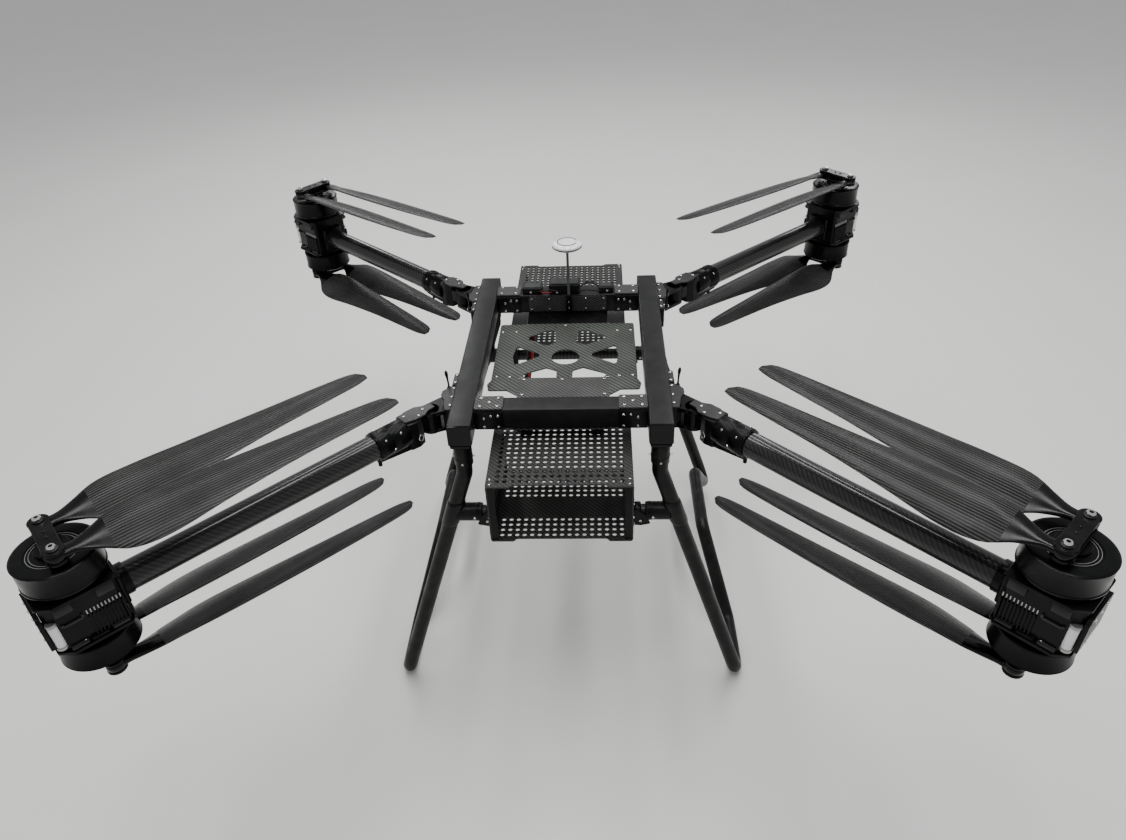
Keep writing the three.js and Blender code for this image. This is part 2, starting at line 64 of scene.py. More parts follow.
# The side of each corner along X and Y, and how its rotors stand in storage, in degrees: for each level the
# turn of the hub, the spread of its two blades to either side of the arm and the lift of their tips.
CORNERS = {
    "front_left": (-1, -1, {"upper": (3.1, 1.5, 0.5), "lower": (0, 1, -0.4)}),
    "front_right": (1, -1, {"upper": (0.9, 0.9, 0.6), "lower": (0.9, -0.3, 0.1)}),
    "rear_left": (-1, 1, {"upper": (3.6, 0.8, 1.7), "lower": (-3.6, 0.9, 1.7)}),
    "rear_right": (1, 1, {"upper": (1.2, 1.7, 2.2), "lower": (-2.5, 1.1, 1.9)}),
}


# ---- materials
class Recipe:
    """A Principled material with short calls for the nodes behind it."""

    def __init__(self, name, colour, roughness, **sockets):
        self.material = bpy.data.materials.new(name)
        self.material.use_nodes = True
        self.tree = self.material.node_tree
        self.shader = self.tree.nodes["Principled BSDF"]
        self.shader.inputs["Base Color"].default_value = (*colour, 1)
        self.shader.inputs["Roughness"].default_value = roughness
        for socket, value in sockets.items():
            self.shader.inputs[socket.replace("_", " ")].default_value = value

    def node(self, kind, inputs=(), **settings):
        made = self.tree.nodes.new("ShaderNode" + kind)
        for key, value in settings.items():
            setattr(made, key, value)
        for key, value in dict(inputs).items():
            self.put(made.inputs[key], value)
        return made

    def put(self, socket, value):
        if isinstance(value, bpy.types.NodeSocket):
            self.tree.links.new(value, socket)
        else:
            socket.default_value = value

    def feed(self, name, value):
        self.put(self.shader.inputs[name], value)

    def math(self, operation, *values):
        made = self.node("Math", operation=operation)
        for socket, value in zip(made.inputs, values):
            self.put(socket, value)
        return made.outputs[0]

    def times(self, one, two):
        return self.math("MULTIPLY", one, two)

    def place(self, stretch=(1, 1, 1)):
        """Object coordinates in millimetres, stretched along each axis."""
        coords = self.node("TexCoord").outputs["Object"]
        scale = tuple(s / MM for s in stretch)
        return self.node("Mapping", {"Vector": coords, "Scale": scale}).outputs[0]

    def split(self, vector):
        return self.node("SeparateXYZ", {"Vector": vector}).outputs

    def noise(self, scale, detail=3.0, stretch=(1, 1, 1)):
        inputs = {"Vector": self.place(stretch), "Scale": scale, "Detail": detail}
        return self.node("TexNoise", inputs).outputs[0]

    def between(self, value, low, high, to_low, to_high):
        inputs = {"Value": value, "From Min": low, "From Max": high, "To Min": to_low, "To Max": to_high}
        return self.node("MapRange", inputs).outputs[0]

    def blend(self, factor, one, two):
        made = self.node("Mix", data_type="RGBA")
        self.put(made.inputs[0], factor)
        self.put(made.inputs[6], (*one, 1))
        self.put(made.inputs[7], (*two, 1))
        return made.outputs[2]

    def bump(self, height, strength, distance):
        inputs = {"Height": height, "Strength": strength, "Distance": distance * MM}
        self.feed("Normal", self.node("Bump", inputs).outputs[0])

    def worn(self, colour, dust, low, high):
        """Smudges in the roughness and a little pale dust in the colour."""
        smudge = self.noise(0.02, 4.0)
        self.feed("Roughness", self.between(smudge, 0.35, 0.65, low, high))
        film = self.between(self.noise(0.035, 5.0), 0.45, 0.75, 0.0, 1.0)
        self.feed("Base Color", self.blend(film, colour, dust))
        return self


def grey(value):
    return (value, value, value)


def metal(name, colour, dust, low, high, grain, shine, **sockets):
    """Painted, machined or anodised metal: fine grain, and smudges between two roughnesses."""
    made = Recipe(name, colour, low, Specular_IOR_Level=shine, **sockets).worn(colour, dust, low, high)
    made.bump(made.noise(grain, 2.0), 0.12, 0.25)
    return made.material


def twill(made, across, along, tow, light, dark, strength=0.5, bright=1.5):
    """Weave of threads `tow` millimetres wide, from two coordinates in millimetres. Of every four threads
    those below `bright` are light. The light colour is a painted sheen on the threads that lie over, the
    threads that lie under are painted darker as if in shade, and each thread is painted darker towards its
    edges as shade in its grooves."""
    u = made.math("DIVIDE", across, tow)
    v = made.math("DIVIDE", along, tow)
    step = made.math("ADD", made.math("FLOOR", u), made.math("FLOOR", v))
    over = made.math("LESS_THAN", made.math("FLOORED_MODULO", step, 4.0), bright)
    bulge_u = made.math("SINE", made.times(made.math("FRACT", u), pi))
    bulge_v = made.math("SINE", made.times(made.math("FRACT", v), pi))
    under = made.math("SUBTRACT", 1.0, over)
    height = made.math("ADD", made.times(bulge_u, over), made.times(bulge_v, under))
    # Painted sheen: the threads that lie over take the light colour, those under only a little of it.
    face = made.between(over, 0, 1, 0.12, 1.0)
    # Painted shade in the grooves: each thread is darker towards its edges.
    groove_shade = made.between(height, 0.0, 1.0, 0.35, 1.0)
    film = made.between(made.noise(0.012, 4.0), 0.4, 0.7, 0.75, 1.2)
    shade = made.times(made.times(face, groove_shade), film)
    made.feed("Base Color", made.blend(shade, dark, light))
    made.bump(height, strength, 0.35)
    return made.material


def woven(name, tow, light, dark, roughness, coat, coat_roughness, radius=0):
    """A weave laid flat or, where a radius is given, wrapped round a tube that lies along local X."""
    coats = {"Coat_Weight": coat, "Coat_Roughness": coat_roughness}
    made = Recipe(name, light, roughness, Specular_IOR_Level=0.2, **coats)
    x, y, z = made.split(made.place())
    if radius:
        return twill(made, x, made.times(made.math("ARCTAN2", y, z), radius), tow, light, dark)
    # Upright faces would show only lines, so height is added to both directions.
    return twill(made, made.math("ADD", x, z), made.math("ADD", y, z), tow, light, dark)


def blade_laminate():
    """Lacquered laminate. Its weave is laid at 45 degrees, so the ribs of the twill run along the blade. One
    thread in four carries the light colour, a painted sheen that draws the lamps' glints as fine bright
    lines.
    """
    coats = {"Coat_Weight": 0.12, "Coat_Roughness": 0.05}
    made = Recipe("blade_laminate", grey(0.02), 0.3, Specular_IOR_Level=0.05, **coats)
    x, y, _ = made.split(made.place())
    half = sqrt(0.5)
    across = made.times(made.math("ADD", x, y), half)
    along = made.times(made.math("SUBTRACT", y, x), half)
    twill(made, across, along, 1.5, (0.105, 0.105, 0.102), grey(0.001), 0.35, 0.5)
    streak = made.noise(0.28, 3.0, (0.02, 1.0, 0.1))
    made.feed("Roughness", made.between(streak, 0.35, 0.65, 0.16, 0.38))
    # The lacquer follows the threads, so that a lamp's glare breaks up into fine lines.
    made.feed("Coat Normal", made.shader.inputs["Normal"].links[0].from_socket)
    return made.material


def satin_sleeve():
    """The soft black skin of the landing gear, with fine lengthwise scuffs."""
    colour, dust = (0.004, 0.0042, 0.004), (0.014, 0.015, 0.013)
    made = Recipe("gear_sleeve", colour, 0.4, Specular_IOR_Level=0.18).worn(colour, dust, 0.3, 0.48)
    made.bump(made.noise(0.5, 4.0, (1.0, 1.0, 0.25)), 0.15, 0.5)
    return made.material


def white_shell():
    colour = (0.84, 0.85, 0.84)
    made = Recipe("white_shell", colour, 0.25, Coat_Weight=0.4, Coat_Roughness=0.1)
    return made.worn(colour, (0.72, 0.72, 0.7), 0.2, 0.34).material


def rubber(name, colour, shade):
    made = Recipe(name, colour, 0.5, Specular_IOR_Level=0.2).worn(colour, shade, 0.42, 0.6)
    made.bump(made.noise(1.6, 2.0), 0.2, 0.2)
    return made.material


BLACK = (0.002, 0.002, 0.0022)
HAZE = (0.007, 0.007, 0.0068)
FRAME_PAINT = metal("frame_paint", (0.006, 0.006, 0.0062), (0.012, 0.012, 0.0115), 0.34, 0.46, 0.7, 0.2)
GLOSS_CAP = metal("gloss_cap", (0.001, 0.0015, 0.0015), (0.003, 0.0035, 0.0035), 0.1, 0.22, 0.3, 0.2)
ALLOY = metal("anodised_black", BLACK, HAZE, 0.24, 0.38, 1.1, 0.14)
ALLOY_EDGE = metal("anodised_grey", grey(0.022), (0.036, 0.036, 0.035), 0.32, 0.45, 1.1, 0.25)
CAN_BLACK = metal("can_black", (0.002, 0.0022, 0.0022), grey(0.005), 0.2, 0.32, 0.5, 0.12)
RING_METAL = metal("ring_metal", grey(0.34), (0.42, 0.42, 0.4), 0.3, 0.4, 0.5, 0.5, Metallic=0.8)
SCREW = metal("screw_steel", (0.8, 0.8, 0.78), (0.55, 0.55, 0.53), 0.14, 0.28, 2.0, 0.5, Metallic=1.0)
DARK_SCREW = metal("screw_black", grey(0.012), grey(0.03), 0.25, 0.4, 2.0, 0.5, Metallic=0.6)
ALLOY_GREY = metal("mast_grey", grey(0.11), grey(0.15), 0.25, 0.35, 0.5, 0.4, Metallic=0.4)
# Near black with almost no sheen: painted shade, laid in sockets and hollows where shade falls.
RECESS_SHADE = metal("recess_shade", grey(0.001), grey(0.003), 0.6, 0.8, 0.9, 0.05)
# In each weave the first, lighter colour is a painted sheen; the second is the carbon's own dark tone.
PLATE_TWILL = woven("plate_twill", 3.0, (0.11, 0.12, 0.106), (0.004, 0.005, 0.004), 0.4, 0.15, 0.25)
FINE_TWILL = woven("fine_twill", 2.4, (0.1, 0.103, 0.098), (0.003, 0.0032, 0.003), 0.38, 0.25, 0.2)
# The box weave is darker than the plate weave: partly its own tone, partly painted shade for the insides of
# the boxes.
SHADED_CASE_TWILL = woven("case_twill_shaded", 2.6, (0.05, 0.052, 0.048), (0.002, 0.0022, 0.002), 0.4, 0.15, 0.25)
TUBE_TWILL = woven("tube_twill", 2.6, grey(0.03), grey(0.002), 0.3, 0.5, 0.08, TUBE_R)
TIE_TWILL = woven("tie_twill", 2.4, grey(0.025), grey(0.003), 0.35, 0.4, 0.18, TIE_TUBE)
BLADE_SKIN = blade_laminate()
BLADE_ROOT = metal("blade_root", grey(0.002), grey(0.004), 0.1, 0.24, 0.5, 0.2)
SLEEVE = satin_sleeve()
MODULE = rubber("module_case", grey(0.006), grey(0.014))
MODULE_TOP = rubber("module_lid", (0.024, 0.025, 0.026), (0.04, 0.04, 0.039))
WHITE = white_shell()
PALE_PLUG = rubber("pale_plug", (0.62, 0.6, 0.54), (0.5, 0.48, 0.44))
RED_WIRE = rubber("red_wire", (0.22, 0.008, 0.01), (0.15, 0.008, 0.008))
BLACK_WIRE = rubber("black_wire", grey(0.006), grey(0.015))


# ---- outlines
def circle(radius, count=24, centre=(0, 0)):
    turns = [2 * pi * i / count for i in range(count)]
    return [(centre[0] + radius * cos(t), centre[1] + radius * sin(t)) for t in turns]


def rectangle(x0, x1, y0, y1):
    return [(x0, y0), (x1, y0), (x1, y1), (x0, y1)]


def mirror_x(points):
    return [(-x, y) for x, y in reversed(points)]


def rounded(points, radius, steps=5):
    """The outline with each corner turned into an arc, no wider than half its sides."""
    made = []
    for i, corner in enumerate(points):
        corner = Vector(corner)
        back = Vector(points[i - 1]) - corner
        ahead = Vector(points[(i + 1) % len(points)]) - corner
        half = back.angle(ahead) / 2
        if half > pi / 2 - 0.03:
            made.append(tuple(corner))
            continue
        reach = min(radius / tan(half), back.length * 0.48, ahead.length * 0.48)
        start, end = corner + back.normalized() * reach, corner + ahead.normalized() * reach
        centre = corner + (back.normalized() + ahead.normalized()).normalized() * (reach / cos(half))
        for k in range(steps + 1):
            chord = start.lerp(end, k / steps) - centre
            made.append(tuple(centre + chord.normalized() * (start - centre).length))
    return made


def inset(points, distance):
    """The outline moved inwards; it runs anticlockwise."""
    made = []
    for i, here in enumerate(points):
        here = Vector(here)
        back = (here - Vector(points[i - 1])).normalized()
        ahead = (Vector(points[(i + 1) % len(points)]) - here).normalized()
        inward = Vector((-back.y - ahead.y, back.x + ahead.x))
        scale = distance / max(0.35, inward.length_squared / 2)
        made.append(tuple(here + inward * scale))
    return made


def turn(angle, axis="Z"):
    return Matrix.Rotation(angle, 4, axis)


def move(x=0.0, y=0.0, z=0.0):
    return Matrix.Translation((x, y, z))


FACE_FRONT = turn(pi / 2, "X")
FACE_REAR = turn(-pi / 2, "X")
FACE_RIGHT = turn(pi / 2, "Y")
FACE_LEFT = turn(-pi / 2, "Y")
FACE_DOWN = turn(pi, "X")
ALONG_X = {-1: FACE_LEFT, 1: FACE_RIGHT}
ALONG_Y = {-1: FACE_FRONT, 1: FACE_REAR}
SIDEWAYS = Matrix(((0, 0, 1, 0), (1, 0, 0, 0), (0, 1, 0, 0), (0, 0, 0, 1)))


def new_object(name, data):
    made = bpy.data.objects.new(name, data)
    bpy.context.scene.collection.objects.link(made)
    return made


# ---- shells gathered into one mesh
class Shell:
    """Shells in millimetres; each call names the material of its faces."""

    def __init__(self):
        self.points = []
        self.faces = []
        self.marks = []
        self.finishes = []

    def add(self, points, faces, finish, at=None):
        start = len(self.points)
        self.points += [at @ Vector(p) if at else Vector(p) for p in points]
        self.faces += [[start + i for i in face] for face in faces]
        if finish not in self.finishes:
            self.finishes.append(finish)
        self.marks += [self.finishes.index(finish)] * len(faces)
        return self

    def loft(self, rings, finish, at=None, ends=True):
        """A skin through rings of equal count, closed at both ends."""
        count = len(rings[0])
        faces = []
        for k in range(len(rings) - 1):
            for i in range(count):
                a, b = k * count + i, k * count + (i + 1) % count
                faces.append([a, b, b + count, a + count])
        if ends:
            faces.append(list(range(count))[::-1])
            faces.append([(len(rings) - 1) * count + i for i in range(count)])
        return self.add([p for ring in rings for p in ring], faces, finish, at)

    def prism(self, outline, z0, z1, finish, at=None, edge=0.7):
        """A flat outline raised from z0 to z1 with small chamfers."""
        small = inset(outline, edge)
        levels = [(small, z0), (outline, z0 + edge), (outline, z1 - edge), (small, z1)]
        return self.loft([[(x, y, z) for x, y in ring] for ring, z in levels], finish, at)

    def block(self, low, high, finish, at=None, edge=0.7, corner=1.2):
        outline = rounded(rectangle(low[0], high[0], low[1], high[1]), corner, 3)
        return self.prism(outline, low[2], high[2], finish, at, edge)

    def turned(self, profile, finish, at=None, count=64, ends=True):
        """A profile of (radius, z), from its lower end up, turned about Z."""
        rings = [[(x, y, z) for x, y in circle(r, count)] for r, z in profile]
        return self.loft(rings, finish, at, ends)

    def hoop(self, profile, finish, at=None, count=64):
        """A closed profile of (radius, z) turned about Z."""
        return self.turned([*profile, profile[0]], finish, at, count, ends=False)

    def bar(self, radius, z0, z1, finish, at=None, edge=0.6, count=40):
        profile = [(radius - edge, z0), (radius, z0 + edge), (radius, z1 - edge), (radius - edge, z1)]
        return self.turned(profile, finish, at, count)

    def tube(self, path, radius, finish, count):
        """A round tube along points, its ends closed."""
        path = [Vector(p) for p in path]
        side = None
        rings = []
        for i, here in enumerate(path):
            along = (path[min(i + 1, len(path) - 1)] - path[max(i - 1, 0)]).normalized()
            side = along.orthogonal() if side is None else side - along * side.dot(along)
            side.normalize()
            other = along.cross(side)
            rings.append([here + (side * x + other * y) * radius for x, y in circle(1, count)])
        return self.loft(rings, finish)

    def screw(self, at, radius=3.0, finish=SCREW):
        """A button-head screw that stands up along local Z, with a socket."""
        high = radius * 0.75
        profile = [(radius, -0.4), (radius, radius * 0.25), (radius * 0.82, high - radius * 0.12),
                   (radius * 0.6, high), (radius * 0.48, high)]
        self.turned([*profile, (radius * 0.42, high - radius * 0.3)], finish, at, 12)
        # The socket's floor is a flat near-black face: painted shade.
        socket = [(x, y, high - radius * 0.28) for x, y in circle(radius * 0.42, 6)]
        self.add(socket, [list(range(6))], RECESS_SHADE, at)

    def screws(self, places, z, radius, at=Matrix(), finish=SCREW):
        """Screws that stand on a level face at (x, y) places."""
        for x, y in places:
            self.screw(at @ move(x, y, z), radius, finish)

    def screw_pair(self, x, y, z, half, radius):
        """Two screws that face to the front and to the rear, `half` from the middle."""
        for way in (-1, 1):
            self.screw(move(x, y + way * half, z) @ ALONG_Y[way], radius)

    def pierced(self, outline, holes, z0, z1, finish, at=None):
        """A flat plate with holes, filled as a curve."""
        curve = bpy.data.curves.new("plate", "CURVE")
        curve.dimensions = "2D"
        curve.fill_mode = "BOTH"
        curve.extrude = (z1 - z0) / 2
        for loop in [outline, *holes]:
            spline = curve.splines.new("POLY")
            spline.points.add(len(loop) - 1)
            for point, (x, y) in zip(spline.points, loop):
                point.co = (x, y, 0, 1)
            spline.use_cyclic_u = True
        holder = bpy.data.objects.new("plate", curve)
        mesh = bpy.data.meshes.new_from_object(holder)
        shape = bmesh.new()
        shape.from_mesh(mesh)
        bmesh.ops.remove_doubles(shape, verts=shape.verts, dist=0.001)
        bmesh.ops.dissolve_limit(shape, angle_limit=0.01, verts=shape.verts, edges=shape.edges)
        bmesh.ops.recalc_face_normals(shape, faces=shape.faces)
        shape.verts.ensure_lookup_table()
        points = [v.co + Vector((0, 0, (z0 + z1) / 2)) for v in shape.verts]
        faces = [[v.index for v in f.verts] for f in shape.faces]
        shape.free()
        bpy.data.meshes.remove(mesh)
        bpy.data.objects.remove(holder)
        bpy.data.curves.remove(curve)
        return self.add(points, faces, finish, at)

    def piece(self, name, body, slot, at=None, flipped=False, replaces=(), sharp=32):
        """The finished object, riding on its body. A flipped piece is its mirror image across local Y."""
        mesh = bpy.data.meshes.new(name)
        hand = -1 if flipped else 1
        points = [(p.x * MM, p.y * MM * hand, p.z * MM) for p in self.points]
        faces = [face[::-1] for face in self.faces] if flipped else self.faces
        mesh.from_pydata(points, [], faces)
        for finish in self.finishes:
            mesh.materials.append(finish)
        mesh.polygons.foreach_set("material_index", self.marks)
        mesh.polygons.foreach_set("use_smooth", [True] * len(faces))
        mesh.set_sharp_from_angle(angle=radians(sharp))
        mesh.update()
        made = new_object(name, mesh)
        if at:
            spot = at.copy()
            spot.translation = at.translation * MM
            made.matrix_world = spot
        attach(made, body)
        if replaces:
            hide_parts(*replaces)


def bent(corners, radius, steps=8):
    """A path through corners, each turned into a smooth bend."""
    corners = [Vector(c) for c in corners]
    path = [corners[0]]
    for i in range(1, len(corners) - 1):
        back, ahead = corners[i - 1] - corners[i], corners[i + 1] - corners[i]
        reach = radius / tan(back.angle(ahead) / 2)
        start = corners[i] + back.normalized() * reach
        end = corners[i] + ahead.normalized() * reach
        for k in range(steps + 1):
            t = k / steps
            path.append(start * (1 - t) ** 2 + corners[i] * 2 * t * (1 - t) + end * t * t)
    return [*path, corners[-1]]


# ---- rails and beams
def rails():
    outline = rounded(rectangle(RAIL_IN, RAIL_OUT, FRAME_BOTTOM, FRAME_TOP), 3, 4)
    for name, hand in (("left_rail", -1), ("right_rail", 1)):
        at = turn(0 if hand > 0 else pi) @ FACE_FRONT
        rail = Shell().prism(outline, -RAIL_END + 2, RAIL_END - 2, FRAME_PAINT, at, 0.5)
        for end in (-1, 1):
            near, far = sorted((end * (RAIL_END - 1.4), end * (RAIL_END + 2.4)))
            rail.prism(inset(outline, 0.4), near, far, GLOSS_CAP, at, 1.0)
        rail.piece(name + "_tube", "frame", "frame_black", replaces=[name])


def beam(name, facing, face_screws):
    """One cross beam; facing is -1 for the front one and 1 for the rear one."""
    outline = rounded(rectangle(-BEAM_HALF, BEAM_HALF, FRAME_BOTTOM, FRAME_TOP), 3, 4)
    y = facing * BEAM_Y
    body = Shell().prism(outline, -BEAM_END, BEAM_END, FRAME_PAINT, move(0, y) @ SIDEWAYS, 0.5)
    for side in (-1, 1):
        x0, x1 = sorted((side * (BEAM_END - 56), side * BEAM_END))
        corner = rounded(rectangle(x0, x1, y - BEAM_HALF, y + BEAM_HALF), 4)
        body.prism(corner, FRAME_TOP, FRAME_TOP + SHEET, FINE_TWILL, None, 0.4)
        body.screws([(side * x, y + dy) for x, dy in face_screws], FRAME_TOP + SHEET, 3.2)
        for face in (-1, 1):
            near, far = sorted((y + face * BEAM_HALF, y + face * (BEAM_HALF + 4)))
            body.block((x0, near, FRAME_BOTTOM + 2), (x1, far, FRAME_TOP - 3), ALLOY, None, 0.6)
            for x, z in ((122, 708), (136, 708), (150, 702), (122, 682), (150, 682)):
                body.screw(move(side * x, y + face * (BEAM_HALF + 4), z) @ ALONG_Y[face], 3.0)
    body.piece(name + "_tube", "frame", "frame_black", replaces=[name])


# ---- centre plate
def centre_plate():
    rear = BEAM_Y + BEAM_HALF
    right = [(96, -rear), (96, -143), (120, -122), (160, -122), (164, -100), (157, -84), (157, 158),
             (96, 158), (96, rear)]
    top = FRAME_BOTTOM - GAP
    outline = rounded(right + mirror_x(right), 6)
    fans = [
        [(59, 12), (59, 25), (112, 58), (118, 16), (112, -24)],
        [(92, -64), (83, -77), (17, -79), (18, -47), (40, -35), (84, -57)],
        [(95, 93), (86, 101), (48, 127), (27, 126), (23, 73), (43, 59), (64, 72)],
    ]
    holes = [circle(31.5, 48, (0, 10))]
    for fan in fans:
        holes += [rounded(fan, 5), rounded(mirror_x(fan), 5)]
    small = [(149, 123), (118, 122), (147, -70), (118, -72), (93, -78)]
    bolt = 2.2
    holes += [circle(bolt, 12, (x, y)) for y in (-104, 140) for x in (-52, -26, 26, 52)]
    plate = Shell().pierced(outline, holes, top - SHEET, top, PLATE_TWILL)
    plate.screws([(s * x, y) for x, y in small for s in (-1, 1)] + [(-4, 150)], top, 3.2)
    # A thin dark slab over the plate's rear tab, in front of the rear beam: painted shade.
    plate.block((-95, 160, top - 1), (95, 215, top + 1.2), ALLOY, None, 0.4, 2)
    plate.piece("centre_plate_carbon", "frame", "carbon_plate", replaces=["centre_plate"])
    end = BEAM_Y - BEAM_HALF - 4.3
    tongue = rounded(rectangle(-96, 96, -end, -80), 4)
    row = [circle(bolt, 12, (x, -192)) for x in (-60, -20, 20, 60)]
    over = Shell().pierced(tongue, row, top, top + SHEET, FINE_TWILL)
    over.screws([(s * 86, y) for s in (-1, 1) for y in (-202, -145, -88)] + [(-4, -88)], top + SHEET, 3.2)
    over.piece("tongue_plate", "frame", "carbon_plate")


# ---- battery boxes
def tray_outline(y0, y1, open_side):
    """A box plate whose open end is set back between two corner tabs."""
    deep = 7 * open_side
    front = [(-BOX_HALF, y0), (-92, y0), (-88, y0 + deep), (88, y0 + deep), (92, y0), (BOX_HALF, y0)]
    loop = [*front, (BOX_HALF, y1), (-BOX_HALF, y1)]
    return rounded(loop if open_side > 0 else loop[::-1], 6)


def battery_box(name, facing, edge, roof_end):
    """A box open at both ends; facing is -1 for the front box and 1 for the rear one."""
    y0, y1 = facing * edge, facing * (edge - BOX_DEPTH)
    case = Shell()
    hole, pitch, columns, first = 4.4, 14.6, 17, y0 - facing * 17
    xs = [(c - columns // 2) * pitch for c in range(columns)]
    rows = [[circle(hole, 16, (x, first - r * facing * pitch)) for x in xs] for r in range(12)]
    floor, roof = sum(rows[:4] + rows[8:], []), sum(rows, [])
    case.pierced(tray_outline(y0, y1, -facing), floor, BOX_LOW, BOX_LOW + SHEET, SHADED_CASE_TWILL)
    case.pierced(tray_outline(y0, roof_end, -facing), roof, BOX_HIGH - SHEET, BOX_HIGH, SHADED_CASE_TWILL)
    near, far = sorted((y0, y1))
    for side in (-1, 1):
        x0, x1 = sorted((side * BOX_HALF, side * (BOX_HALF - SHEET)))
        wall = rounded(rectangle(near + 3, far - 1, BOX_LOW + SHEET, BOX_HIGH - SHEET), 3)
        starts = [(near + a, z) for a in (34, 84, 134) for z in (546, 598)]
        slots = [rounded(rectangle(y, y + 34, z, z + 18), 8) for y, z in starts]
        case.pierced(wall, slots, x0, x1, SHADED_CASE_TWILL, SIDEWAYS)
        for y in (y0 - facing * 5, y1 + facing * 5):
            a, b = sorted((side * (BOX_HALF - SHEET), side * (BOX_HALF - SHEET - 13)))
            case.block((a, y - 2, BOX_LOW + SHEET), (b, y + 2, BOX_HIGH - SHEET), ALLOY, None, 0.4, 0.5)
            for z in (528, 566, 600, 636):
                case.screw(move(side * BOX_HALF, y - facing * 4, z) @ ALONG_X[side], 2.2)
        edge_spots = [(side * 130, y0 - facing * 8), (side * 131, y0 - facing * 22),
                      (side * 130, y1 + facing * 10)]
        case.screws(edge_spots, BOX_HIGH, 2.6)
        case.screws(edge_spots, BOX_LOW + SHEET, 2.4)
    post_y = facing * BEAM_Y
    for x in (-70, 70):
        case.block((x - 12, post_y - 12, BOX_HIGH - 1), (x + 12, post_y + 12, FRAME_BOTTOM - 3.6), ALLOY)
    case.piece(name + "_case", "frame", "battery_case", replaces=[name])


# ---- landing gear
def lean(z):
    """The sideways place of the slanted tube at a height."""
    return FOOT_X + (z - LEG_SKID) * (RAIL_MID - FOOT_X) / (BEND_Z - LEG_SKID)


def landing_gear(name, hand):
    """One bent tube from rail to floor and back, with a knot where each cross tube meets it."""
    low, top = LEG_SKID, FRAME_BOTTOM - 4
    corners = [(RAIL_MID, -LEG_TOP_Y, top), (RAIL_MID, -BEND_Y, BEND_Z), (lean(low), -FOOT_Y, low),
               (lean(low), -168, low), (lean(ARCH_Z), -18, ARCH_Z), (lean(ARCH_Z), 190, ARCH_Z),
               (lean(low), FOOT_Y + 13, low), (RAIL_MID, BEND_Y, BEND_Z), (RAIL_MID, LEG_TOP_Y, top)]
    bend, knee = 34, 19
    gear = Shell().tube(bent(corners, bend, 10), LEG_TUBE, SLEEVE, 28)
    gear.points = [Vector((p.x, p.y, max(0.0, p.z))) for p in gear.points]
    for side in (-1, 1):
        y, tie_y = side * LEG_TOP_Y, side * TIE_Y
        knot = []
        for z, radius in ((31, 16.3), (29, 18.2), (25, knee), (-23, knee), (-27, 18.2), (-29, 16.3)):
            here = Vector((lean(TIE_Z + z), tie_y, TIE_Z + z))
            knot.append([here + Vector((radius * c, radius * s, 0)) for c, s in circle(1, 40)])
        gear.loft(knot[::-1], SLEEVE)
        branch = move(RAIL_MID - 28, tie_y, TIE_Z) @ FACE_RIGHT
        gear.turned([(14.6, 0), (18.4, 1.5), (knee, 3.5), (knee, 50)], SLEEVE, branch, 40)
        band = knee + 0.6
        gear.turned([(knee, 6), (band, 6.6), (band, 12.4), (knee, 13)], ALLOY, branch, 40)
        gear.screw_pair(RAIL_MID - 12, tie_y, TIE_Z - 2, 18.6, 3.0)
        flange = rounded(rectangle(RAIL_MID - 21, RAIL_MID + 21, y - 19, y + 19), 5)
        gear.prism(flange, FRAME_BOTTOM - 6 - GAP, FRAME_BOTTOM - GAP, GLOSS_CAP)
        collar = [(16.4, 618), (18.1, 619), (18.5, 621), (18.5, 664), (18.1, 666), (16.4, 667)]
        gear.turned(collar, SLEEVE, move(RAIL_MID, y), 40)
        gear.hoop([(18.3, 634), (19.1, 634.4), (19.1, 638), (18.3, 638.4)], ALLOY, move(RAIL_MID, y), 40)
        gear.bar(1.3, -24, 24, SCREW, move(RAIL_MID, y, 636) @ FACE_RIGHT, 0.3, 12)
        gear.screw_pair(RAIL_MID, y, 628, 18.3, 2.6)
    gear.piece(name + "_tubes", "frame", "gear_black", turn(pi) if hand < 0 else None, hand < 0, [name])


def cross_tube(name, side):
    y, z = side * TIE_Y, TIE_Z
    axis = move(0, y, z)
    tie = Shell().bar(TIE_TUBE, -RAIL_MID + 18.4, RAIL_MID - 18.4, TIE_TWILL, axis @ FACE_RIGHT, 0.6, 48)
    for hand in (-1, 1):
        out = ALONG_X[hand]
        face = BOX_HALF + 0.4
        clamp = [(15, face + 3), (18.4, face + 4), (19, face + 5), (19, face + 17), (18.4, face + 18),
                 (15, face + 19)]
        tie.turned(clamp, ALLOY, axis @ out, 40)
        plate = [(y - 26, z - 22), (y + 30, z - 22), (y + 30, 540), (y + 18, 552), (y - 14, 552),
                 (y - 26, 540)]
        a, b = sorted((hand * face, hand * (face + 4)))
        tie.prism(rounded(plate, 4), a, b, ALLOY, SIDEWAYS)
        for py, pz in ((y - 18, 540), (y + 20, 540), (y - 19, z - 15), (y + 22, z - 15)):
            tie.screw(move(hand * (face + 4), py, pz) @ out, 2.8)
        wing = [(face + 4, z - 20), (face + 17, z - 22), (face + 38, z - 17), (face + 25, z + 8),
                (face + 12, z + 20), (face + 4, z + 20)]
        if hand < 0:
            wing = mirror_x(wing)
        front = y - 21.5
        tie.prism(rounded(wing, 3), -front - 3, -front, ALLOY, FACE_FRONT)
        tie.screw(move(hand * (face + 17), front - 0.2, z - 8) @ FACE_FRONT, 3.0)
    tie.piece(name + "_carbon", "frame", "carbon_tube", replaces=[name])


